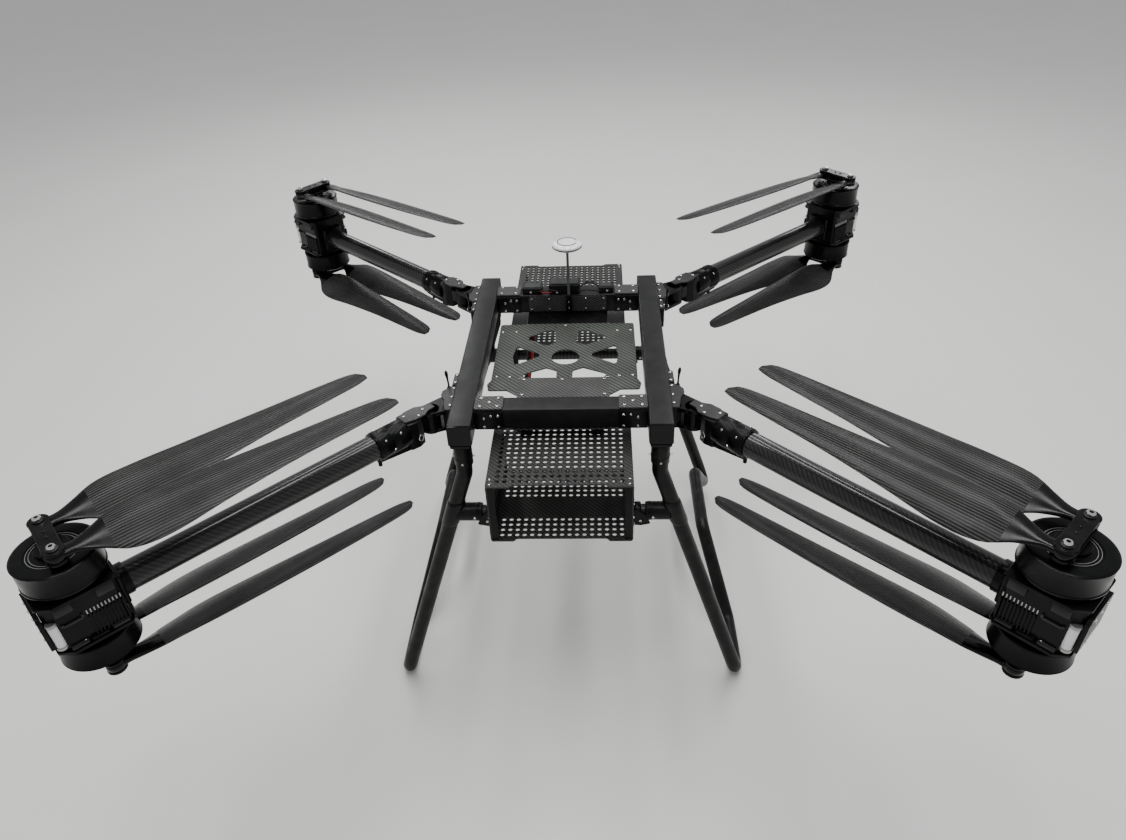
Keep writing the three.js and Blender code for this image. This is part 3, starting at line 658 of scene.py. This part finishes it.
# ---- electronics on the rear beam
def module(name, node, x0, x1, y0, y1, height, lid):
    """A small housing with a lid and sockets along the foot of its front."""
    z = FRAME_TOP + GAP
    case = Shell().block((x0, y0, z), (x1, y1, z + height), MODULE, None, 1.2, 3)
    top = z + height
    case.block((x0 + 4, y0 + 4, top - 0.5), (x1 - 4, y1 - 4, top + lid), MODULE_TOP, None, 0.9, 3)
    pitch = 9
    for i in range(int((x1 - x0 - 10) // pitch)):
        x = x0 + 8 + i * pitch
        # Each socket opening is a near-black block: painted shade.
        case.block((x, y0 - 1.2, z + 3), (x + 6.4, y0 + 1, z + 9), RECESS_SHADE, None, 0.4, 0.6)
        plug = PALE_PLUG if i % 3 == 1 else MODULE
        case.block((x + 1, y0 - 1.6, z + 4), (x + 5.4, y0, z + 8), plug, None, 0.3, 0.4)
    corners = [(x, y) for y in (y0 + 2.6, y1 - 2.6) for x in (x0 + 2.6, x1 - 2.6)]
    case.screws(corners, top, 1.5, finish=DARK_SCREW)
    case.piece(name, "frame", "module_black", replaces=[node] if node else ())


def jumper_wires():
    """Short jumper wires between the modules; both ends of each are in a socket."""
    z = FRAME_TOP + 5
    wires = Shell()
    routes = [
        [(-70, 221, z + 2), (-64, 200, z + 14), (-40, 198, z + 18), (-24, 204, z + 12), (-20, 218.5, z + 2)],
        [(-62, 221, z + 2), (-57, 210, z + 4), (-50, 208, z + 6), (-42, 210, z + 4), (-38, 218.5, z + 2)],
        [(20, 218.5, z + 2), (26, 204, z + 12), (48, 200, z + 16), (74, 206, z + 10), (82, 223, z + 2)],
        [(28, 240, z + 4), (44, 246, z + 12), (60, 244, z + 14), (78, 238, z + 5)],
    ]
    for route, finish in zip(routes, (BLACK_WIRE, RED_WIRE, BLACK_WIRE, BLACK_WIRE)):
        wires.tube(bent(route, 5, 5), 1.5, finish, 10)
    wires.piece("module_wires", "frame", "module_black")


def mast():
    x, y = 4, 208
    rod = Shell().bar(3.2, 690, 841.6, ALLOY_GREY, move(x, y), 0.4, 24)
    rod.block((x - 7, y - 5, 682), (x + 7, 213.6, 715), ALLOY)
    rod.turned([(4.4, 712), (6, 713.4), (6, 723), (4.6, 725), (3.4, 725.4)], ALLOY, move(x, y), 32)
    for z in (690, 707):
        rod.screw(move(x, y - 5, z) @ FACE_FRONT, 2.4)
    plate = rounded(rectangle(-93, 93, 677, 716), 4)
    rod.pierced(plate, [], -215.8, -214, FINE_TWILL, FACE_FRONT)
    for px in (-86, -44, 44, 86):
        for pz in (683, 710):
            rod.screw(move(px, 214, pz) @ FACE_FRONT, 2.8)
    rod.piece("mast_rod", "frame", "mast_black", replaces=["position_mast"])
    cap = [(12, 842), (24, 842), (30.5, 845.2), (33.6, 849.5), (34.5, 852), (33.8, 854.4), (31, 856.5),
           (26, 858.2), (18, 859.7), (9, 860.4), (3, 860.6)]
    puck = Shell().turned(cap, WHITE, move(x, y), 72)
    turns = [radians(20 + k * 10) for k in range(33)]
    arc = [(x + 22 * cos(t), y + 22 * sin(t), 859.2) for t in turns]
    puck.tube(arc, 1.0, BLACK_WIRE, 8)
    puck.hoop([(33.9, 847.6), (34.7, 848.2), (34.7, 849.2), (33.9, 849.8)], MODULE, move(x, y), 72)
    puck.piece("puck_shell", "frame", "shell_white", replaces=["position_puck"])


def power_lead():
    """Two insulated cores side by side, from the front box to the rear one."""
    y0 = BOX_DEPTH - BOX_FRONT
    y1 = BOX_REAR - BOX_DEPTH
    lead = Shell()
    for offset, finish in ((3.9, RED_WIRE), (-3.9, BLACK_WIRE)):
        x = -87 + offset
        route = [(x, y0 - 30, 640), (x, y0 + 40, 640), (x + 2, 60, 628), (x - 2, y1 - 60, 640),
                 (x - 4, y1 + 30, 640)]
        lead.tube(bent(route, 60, 8), 3.9, finish, 16)
    for y in (-196, -60, 190, 322):
        lead.block((-99, y - 5, 633), (-75, y + 5, 646), BLACK_WIRE, None, 0.8, 2)
    lead.piece("power_cores", "frame", "cable_red", replaces=["power_lead"])


# ---- arm roots
EAR_EYE, EAR_TOP, EAR_LOW, EAR_THICK = 20, 704, 656, 9
LEVER = Vector((236, 146, 692))


def bracket(corner, side, flipped, angle):
    """The hinge bracket on a rail, drawn for the rear right corner."""
    face = RAIL_OUT + GAP
    reach = Vector((-sin(angle), cos(angle))) * EAR_EYE
    ear = [(face + 9, 172), (HINGE.x - reach.x, HINGE.y - reach.y), (HINGE.x + reach.x, HINGE.y + reach.y),
           (face + 9, 238)]
    cover = [(face, 156), (face + 12, 156), (face + 28, 173), (face + 29, 187), (face + 20, 206),
             (face + 15, 240), (face, 240)]
    web = [(face + 9, 172), (face + 19, 182), (face + 19, 236), (face + 9, 238)]
    spot = move(HINGE.x, HINGE.y)
    made = Shell().block((face, 106, EAR_LOW), (face + 12, 240, EAR_TOP), ALLOY, None, 0.8, 2)
    made.prism(rounded(web, 1.5, 3), EAR_LOW, EAR_TOP, ALLOY)
    for z0, z1 in ((EAR_LOW, EAR_LOW + EAR_THICK), (EAR_TOP - EAR_THICK, EAR_TOP)):
        made.prism(rounded(ear, 1.5, 3), z0, z1, ALLOY)
        made.bar(EAR_EYE, z0, z1, ALLOY, spot, 0.8, 56)
    made.prism(rounded(cover, 2.5, 4), EAR_TOP, EAR_TOP + 3, ALLOY_EDGE, None, 0.6)
    made.block((face + 0.5, 107, EAR_TOP), (face + 11, 150, EAR_TOP + 3), ALLOY_EDGE, None, 0.6, 2)
    made.screws([(face + 5, y) for y in (165, 196, 226, 115, 143)], EAR_TOP + 3, 3.3)
    made.bar(5, EAR_LOW - 5, EAR_TOP + 2, SCREW, spot, 0.8, 28)
    made.bar(8.5, EAR_LOW - 4, EAR_LOW, ALLOY, spot, 0.6, 28)
    made.bar(5, face + 9, LEVER.x - 4.4, SCREW, move(0, LEVER.y, LEVER.z) @ FACE_RIGHT, 0.4, 28)
    for y, z in ((122, 668), (156, 668), (122, 692)):
        made.screw(move(face + 12, y, z) @ FACE_RIGHT, 3.2)
    made.piece(corner + "_bracket_body", "frame", "black_anodised", side, flipped, [corner + "_bracket"])


def lever(corner, side, flipped):
    x, y, z = LEVER
    made = Shell().bar(7, x - 4, x + 4, ALLOY, move(0, y, z) @ FACE_RIGHT, 0.8, 40)
    made.screw(move(x + 3.8, y, z) @ FACE_RIGHT, 3.4)
    rings = []
    for share in [i / 14 for i in range(15)]:
        rise = 45 * share
        width = 4.4 - 1.4 * sin(pi * min(1, share * 1.3)) + (0.9 if share > 0.75 else 0)
        width *= 1 if share < 0.98 else 0.6
        bow = x + 2.6 * share * share
        rings.append([(bow + a * 0.62 * width, y + b * width, z + rise) for a, b in circle(1, 20)])
    made.loft(rings, ALLOY)
    made.piece(corner + "_lever_grip", corner + "_lever", "lever_black", side, flipped,
               [corner + "_clamp_lever"])


def knuckle(corner, arm, flipped):
    """The swinging half of the hinge with its clamp on the tube, along local X."""
    low, high = EAR_LOW + EAR_THICK + GAP, EAR_TOP - EAR_THICK - GAP
    body = [(30, -14), (46, -22), (66, -22), (66, 22), (46, 24), (30, 18)]
    keel = [(34, 668), (34, 650), (40, 646), (62, 644), (136, 652), (138, 668)]
    cap = [(-8, -9), (10, -12), (24, -20), (48, -20), (66, -12), (66, 12), (45, 18), (22, 18), (10, 10),
           (-8, 9)]
    made = Shell().bar(EAR_EYE - 0.5, low, high, ALLOY, None, 0.8, 56)
    made.block((0, -14, low), (36, 14, high), ALLOY)
    made.prism(rounded(body, 3), 648, EAR_TOP + 3.2, ALLOY)
    made.prism(rounded(keel, 3)[::-1], -13, 13, ALLOY, FACE_FRONT)
    made.prism(rounded(cap, 2.5), EAR_TOP + 3.3, EAR_TOP + 7, ALLOY_EDGE, None, 0.7)
    made.screws([(16, 0), (57, -6), (34, 12)], EAR_TOP + 7, 3.2)
    axis = move(0, 0, TUBE_Z) @ FACE_RIGHT
    clamp = [(25.4, 62), (28.2, 62.6), (29, 64), (29, 100), (28.4, 101), (28.4, 103), (29, 104),
             (29, 133.5), (28.2, 135.4), (25.6, 136)]
    made.turned(clamp, CAN_BLACK, axis, 72)
    made.hoop([(28.8, 122), (29.8, 122.6), (29.8, 130.4), (28.8, 131)], ALLOY, axis, 72)
    for u, t in ((84, 50), (118, 50), (84, -50), (118, -50), (104, 100)):
        made.screw(move(u, 0, TUBE_Z) @ turn(radians(-t), "X") @ move(0, 0, 28.6), 2.6)
    made.block((74, -8, 651), (134, -3, 664), ALLOY)
    for u in (84, 104, 124):
        made.screw(move(u, 13, 660) @ FACE_REAR, 2.8)
        made.screw(move(u, -13, 660) @ FACE_FRONT, 2.8)
    made.turned([(3.2, 634), (4, 635), (4, 645), (5.4, 646), (5.4, 652)], ALLOY, move(128, 0), 24)
    made.bar(2.2, 22, 26, SCREW, move(43, 0, 676) @ FACE_REAR, 0.5, 16)
    turns = [radians(k * 15) for k in range(24)]
    made.tube([(43 + 5.2 * sin(t), 25.4, 669 + 6.6 * cos(t)) for t in turns], 0.8, SCREW, 8)
    made.piece(corner + "_knuckle_body", corner + "_arm", "black_anodised", arm, flipped,
               [corner + "_knuckle"])


# ---- arm tube and motor mount
def arm_tube(corner, arm, flipped, run):
    """The tube's own object sits on its axis, so that the weave wraps round it."""
    made = Shell().bar(TUBE_R, 75.3, run - 62.3, TUBE_TWILL, FACE_RIGHT, 0.5, 72)
    made.piece(corner + "_arm_carbon", corner + "_arm", "carbon_tube", arm @ move(0, 0, TUBE_Z), flipped,
               [corner + "_arm_tube"])


def motor_mount(corner, arm, flipped, run):
    """The housing between the two motors; heights count from its middle. Its lamp is on the side that faces
    the front of the aircraft."""
    core = [(-52, -44), (-46, -50), (42, -50), (58, -38), (58, 38), (42, 50), (-46, 50), (-52, 44)]
    flange = [(-56, -48), (-46, -60), (40, -60), (62, -42), (62, 42), (40, 60), (-46, 60), (-56, 48)]
    shoulder = [(46, 28), (59.6, 31), (59.6, 36), (51, 49.8), (46, 49.8)]
    lip = [(46, 38), (56, 40), (56, 43), (51, 49.8), (46, 49.8)]
    core_z, rim_z, rim_v = 45, 50, 50
    made = Shell().prism(rounded(core, 4), -core_z, core_z, ALLOY)
    drop = TUBE_Z - MOTOR.z
    for level in (-1, 1):
        upside = FACE_DOWN if level < 0 else Matrix()
        made.prism(rounded(inset(flange, 1), 5), core_z - 0.5, rim_z, ALLOY, upside, 0.8)
        # A near-black ring under each motor bell: painted shade in the gap.
        made.turned([(40, 48), (42, 50.4), (42, 56), (41, 57.6), (36, 57.6)], RECESS_SHADE, upside, 64)
        made.hoop(rectangle(43, 52, rim_z, rim_z + 3), ALLOY, upside, 64)
        for hand in (-1, 1):
            ends = shoulder if level > 0 else lip
            for u0, u1, shape, finish in ((-46, -20, ends, ALLOY_EDGE), (-14, 12, lip, ALLOY),
                                          (16, 41, ends, ALLOY_EDGE)):
                loop = [(hand * v, z) for v, z in shape]
                made.prism(loop if hand > 0 else loop[::-1], u0, u1, finish, upside @ SIDEWAYS, 0.8)
    for hand in (-1, 1):
        v0, v1 = sorted((hand * (rim_v - 1), hand * 53.6))
        w0, w1 = sorted((hand * 49.4, hand * 51.2))
        for i in range(10):
            u = -49 + i * 5.5
            made.block((u, v0, -41), (u + 2.4, v1, 1), ALLOY, None, 0.5, 0.6)
            made.block((u + 0.2, w0, 4.5), (u + 2.2, w1, 12), RING_METAL, None, 0.2, 0.3)
        for u0, u1, z0, z1 in ((7, 40, 2, 5.5), (7, 11, 2, 10), (36, 40, 2, 8)):
            made.block((u0, v0, z0), (u1, v1, z1), ALLOY_EDGE, None, 0.4, 0.6)
        for u, z in ((-12, -42.5), (20, -40)):
            made.screw(move(u, hand * rim_v, z) @ ALONG_Y[hand], 2.2)
    lamp = move(50, 44.5 if corner.startswith("front") else -44.5, 0)
    made.turned([(2, -35), (6, -32.5), (7.4, -30), (7.4, 11), (6, 13.5), (2, 16)], WHITE, lamp, 28)
    for z in (-37, 11):
        made.turned([(7.6, z), (8.4, z + 1), (8.4, z + 5), (7.6, z + 6)], RING_METAL, lamp, 28)
    plate = rounded([(-44, -36), (44, -36), (44, 24), (38, 30), (-38, 30), (-44, 24)], 3)
    holes = [circle(3, 16, (x, z)) for x in (-36, 36) for z in (-28, 21)]
    made.pierced(plate, holes, 59, 65.4, ALLOY, SIDEWAYS)
    made.screws([(x, z) for x in (-22, 0, 22) for z in (-26, 20)], 65.4, 2.6, SIDEWAYS)
    made.block((-62, -29, drop - 29), (-50, 29, drop + 29), ALLOY, None, 1.0, 6)
    axis = move(0, 0, drop) @ FACE_RIGHT
    made.turned([(25.4, -74), (27, -73.6), (27.6, -72.6), (27.6, -61)], ALLOY, axis, 72)
    made.piece(corner + "_mount_body", corner + "_arm", "motor_black", arm @ move(run, 0, MOTOR.z), flipped,
               [corner + "_motor_mount"])


# ---- rotors and blades
def hub_strap():
    """The dog-bone outline of a hub plate, its eyes on the blade bolts."""
    points = []
    for end in (1, -1):
        for k in range(13):
            t = radians(-26 + 232 * k / 12)
            points.append((end * HUB_EYE * cos(t), end * (HUB_SPAN + HUB_EYE * sin(t))))
        points += [(-end * 14.2, end * 24), (-end * 14.2, end * 0.1)]
    return points


def rotor(corner, level, hub):
    """The bell and its folding hub, drawn for the upper rotor."""
    low, top = CAN_LOW, CAN_HIGH
    bell = [(30, low), (58, low), (61.6, low + 0.8), (62.2, low + 2.4), (62.2, low + 4.4),
            (CAN_R, low + 5.6), (CAN_R, top - 4), (62.2, top - 1.8), (60.4, top - 0.5), (57, top),
            (42, top - 0.6), (41, top - 1.4), (30, top - 1.4), (26, top - 0.6), (25, top + 0.6),
            (25, HUB_LOW - 1), (24, HUB_LOW), (12, HUB_LOW)]
    made = Shell().turned(bell, CAN_BLACK, None, 112)
    for radius in (33.5, 38):
        made.hoop(rectangle(radius - 0.35, radius + 0.35, top - 1.6, top - 0.7), RING_METAL, None, 112)
    strap = hub_strap()
    made.prism(strap, HUB_LOW, HUB_LOW + HUB_PLATE, ALLOY, None, 0.6)
    made.prism(strap, HUB_HIGH - HUB_PLATE, HUB_HIGH, ALLOY, None, 0.8)
    made.block((-7, -19, HUB_LOW + 3), (7, 19, HUB_HIGH - 3), ALLOY)
    for k in range(5):
        y = -18 + k * 8.2
        made.block((-12.6, y, HUB_LOW + 3), (12.6, y + 3.2, HUB_HIGH - 3), ALLOY, None, 0.4, 0.6)
    for y in (-HUB_SPAN, HUB_SPAN):
        at = move(0, y)
        made.bar(4.9, HUB_LOW + 1, HUB_HIGH, SCREW, at, 0.4, 24)
        z = HUB_HIGH
        washer = [(8, z - 0.5), (8.6, z), (8.6, z + 1.6), (7.8, z + 2.2)]
        made.turned(washer, DARK_SCREW, at, 32)
        head = [(6.2, z + 2), (6.4, z + 2.6), (6.4, z + 5.4), (5.6, z + 6.8), (4, z + 7), (3.2, z + 7),
                (2.8, z + 4)]
        made.turned(head, SCREW, at, 32)
        # The socket in each bolt head is a near-black face: painted shade.
        made.add([(x, y + v, z + 4.2) for x, v in circle(2.9, 6)], [list(range(6))], RECESS_SHADE)
    made.screws([(0, -8), (0, 8)], HUB_HIGH, 2.4, finish=DARK_SCREW)
    made.piece(f"{corner}_{level}_bell", f"{corner}_{level}_hub", "black_anodised", hub, False,
               [f"{corner}_{level}_rotor"])


# Along the blade: distance from the bolt, chord, thickness, pitch in degrees, and the share of the chord that
# lies ahead of the bolt.
STATIONS = [
    (8, 25, 12.4, 0, 0.5), (25, 25, 12, 2, 0.5), (52, 44, 10, 13, 0.5), (92, 80, 8.4, 21, 0.45),
    (150, 90, 7.4, 19, 0.44), (240, 78, 6.2, 14.5, 0.5), (370, 60, 4.5, 10, 0.61), (500, 45, 3.3, 7.5, 0.73),
    (553, 33, 2.6, 7, 0.82), (BLADE_LENGTH, 13, 1.8, 7, 0.95),
]


def station(x):
    """Chord, thickness, pitch and share ahead at a distance, on a smooth curve through the stations."""
    last = len(STATIONS) - 2
    k = max(0, min(last, sum(1 for s in STATIONS if s[0] <= x) - 1))
    rows = [STATIONS[max(0, min(len(STATIONS) - 1, i))] for i in (k - 1, k, k + 1, k + 2)]
    span = rows[2][0] - rows[1][0]
    t = (x - rows[1][0]) / span
    made = []
    for c in range(1, 5):
        slope_in = (rows[2][c] - rows[0][c]) / max(1e-6, rows[2][0] - rows[0][0]) * span
        slope_out = (rows[3][c] - rows[1][c]) / max(1e-6, rows[3][0] - rows[1][0]) * span
        h = (2 * t**3 - 3 * t**2 + 1, t**3 - 2 * t**2 + t, -2 * t**3 + 3 * t**2, t**3 - t**2)
        made.append(h[0] * rows[1][c] + h[1] * slope_in + h[2] * rows[2][c] + h[3] * slope_out)
    return made


def foil_ring(x, lift):
    """The blade's section at a distance: a rounded bar at the root that turns into an aerofoil."""
    chord, thick, pitch, ahead = station(x)
    pitch = radians(pitch)
    climb = max(0.0, x - HUB_EYE) * tan(radians(lift))
    blend_start, blend_length, arch = 22, 60, 0.05
    share = min(1.0, max(0.0, (x - blend_start) / blend_length))
    foil = share * share * (3 - 2 * share)
    ring = []
    count = 28
    for i in range(count):
        t = 2 * pi * i / count
        c = (1 - cos(t)) / 2
        naca = 5 * (0.2969 * sqrt(c) - 0.126 * c - 0.3516 * c**2 + 0.2843 * c**3 - 0.1015 * c**4)
        round_bar = abs(sin(t)) ** 0.55 / 2
        half = thick * ((1 - foil) * round_bar + foil * naca) * (1 if sin(t) >= 0 else -1)
        camber = arch * chord * 4 * c * (1 - c) * min(1, x / 92)
        y, z = chord * (ahead - c), half + camber
        up = y * sin(pitch) + z * cos(pitch) + climb
        ring.append((x, y * cos(pitch) - z * sin(pitch), up))
    return ring


def blade(corner, level, letter, at, flipped, lift):
    """A moulded black root with its eye, and the woven blade that grows out of it."""
    made = Shell()
    bore, eye, half = 5.8, HUB_EYE - 0.6, 6.4
    rim = [(bore, -half), (eye - 1, -half), (eye, 1 - half), (eye, half - 1), (eye - 1, half), (bore, half)]
    made.hoop(rim, BLADE_ROOT, None, 48)
    start, root_end = STATIONS[0][0], 74
    root = [start + (root_end - start) * k / 11 for k in range(12)]
    made.loft([foil_ring(x, lift) for x in root], BLADE_ROOT)
    span = [root_end + (BLADE_LENGTH - root_end) * (k / 44) for k in range(45)]
    made.loft([foil_ring(x, lift) for x in span], BLADE_SKIN)
    node = f"{corner}_{level}_blade_{letter}"
    made.piece(node + "_foil", node, "carbon_blade", at, flipped, [node], 50)


def corner_pieces(corner, x, y, storage):
    flipped = x != y
    hand = -1 if flipped else 1
    shift = REAR_SHIFT if y > 0 else 0
    reach = Vector((MOTOR.x - HINGE.x, MOTOR.y - HINGE.y - shift))
    run, angle = reach.length, atan2(reach.y, reach.x)
    side = move(0, shift) @ turn(0 if x > 0 else pi)
    arm = side @ move(HINGE.x, hand * HINGE.y) @ turn(hand * angle)
    bracket(corner, side, flipped, angle)
    lever(corner, side, flipped)
    knuckle(corner, arm, flipped)
    arm_tube(corner, arm, flipped, run)
    motor_mount(corner, arm, flipped, run)
    for level, (hub_turn, spread, lift) in storage.items():
        below = level == "lower"
        hub = arm @ move(run, 0, MOTOR.z) @ turn(hand * radians(-hub_turn))
        rotor(corner, level, hub @ FACE_DOWN if below else hub)
        for letter, place in (("a", 1), ("b", -1)):
            seat = move(0, hand * place * HUB_SPAN, -BLADE_MID if below else BLADE_MID)
            swing = turn(hand * (pi - place * radians(spread)))
            blade(corner, level, letter, hub @ seat @ swing, flipped != below, lift)


rails()
beam("front_beam", -1, [(124, -14), (124, 14), (158, -14), (158, 14), (141, 0)])
beam("rear_beam", 1, [(124, -14), (124, 14), (158, -14), (158, 14)])
centre_plate()
battery_box("front_battery_box", -1, BOX_FRONT, BOX_DEPTH - BOX_FRONT)
battery_box("rear_battery_box", 1, BOX_REAR, 190)
landing_gear("right_landing_gear", 1)
landing_gear("left_landing_gear", -1)
cross_tube("front_cross_tube", -1)
cross_tube("rear_cross_tube", 1)
module("controller_case", "flight_controller", -44, 30, 219, 259, 24, 3)
module("receiver_case", "receiver", -108, -60, 222, 256, 15, 2)
module("relay_case", None, 75, 110, 224, 254, 14, 2)
jumper_wires()
mast()
power_lead()
for corner_name, (corner_x, corner_y, corner_storage) in CORNERS.items():
    corner_pieces(corner_name, corner_x, corner_y, corner_storage)


# ---- floor, light and camera
def stage_floor():
    """A wide disc, in metres."""
    size, rings, sectors = 14.0, 10, 48
    points = [(0, 0, 0)]
    for k in range(1, rings + 1):
        points += [(size * k / rings * c, size * k / rings * s, 0) for c, s in circle(1, sectors)]
    faces = []
    for i in range(sectors):
        j = (i + 1) % sectors
        faces.append([0, 1 + i, 1 + j])
        for a in range(1, len(points) - sectors, sectors):
            faces.append([a + i, a + sectors + i, a + sectors + j, a + j])
    mesh = bpy.data.meshes.new("floor")
    mesh.from_pydata(points, [], faces)
    pale = Recipe("floor_paint", (0.74, 0.745, 0.72), 0.5)
    pale.feed("Base Color", pale.blend(pale.noise(0.002), (0.72, 0.725, 0.7), (0.77, 0.775, 0.75)))
    mesh.materials.append(pale.material)
    floor = new_object("floor", mesh)


def softbox(name, place, aim, width, length, power):
    """A lamp with sizes in metres and its power in watts."""
    light = bpy.data.lights.new(name, "AREA")
    light.shape = "RECTANGLE"
    light.size, light.size_y = width, length
    light.energy = power
    holder = new_object(name, light)
    holder.location = place
    holder.rotation_euler = (Vector(aim) - Vector(place)).to_track_quat("-Z", "Y").to_euler()


def lighting():
    world = bpy.data.worlds.new("studio")
    world.use_nodes = True
    glow = world.node_tree.nodes["Background"].inputs
    glow["Color"].default_value = (0.86, 0.87, 0.88, 1)
    glow["Strength"].default_value = 0.58
    bpy.context.scene.world = world
    for number, x in enumerate((-1.25, 0, 1.25)):
        softbox(f"ceiling_{number}", (x, 0.5, 4.2), (x, 0.4, 0), width=0.4, length=4.4, power=70)
    softbox("back_left", (-1.4, 3.6, 3.0), (-0.2, 0, 0.6), width=0.3, length=3.0, power=26)
    softbox("back_right", (1.5, 3.4, 3.0), (0.2, 0, 0.6), width=0.3, length=3.0, power=20)


def camera():
    """The view from above the front of the aircraft, a little turned and tilted."""
    place = (0.0823, -1.5875, 1.6481)
    yaw, pitch, roll = (radians(a) for a in (-3.37, 35.69, -2.6))
    data = bpy.data.cameras.new("camera")
    data.sensor_width = 36
    data.lens = 26.81
    data.clip_start = 0.05
    made = new_object("camera", data)
    made.matrix_world = move(*place) @ turn(-yaw) @ turn(pi / 2 - pitch, "X") @ turn(roll)
    bpy.context.scene.camera = made


stage_floor()
lighting()
camera()
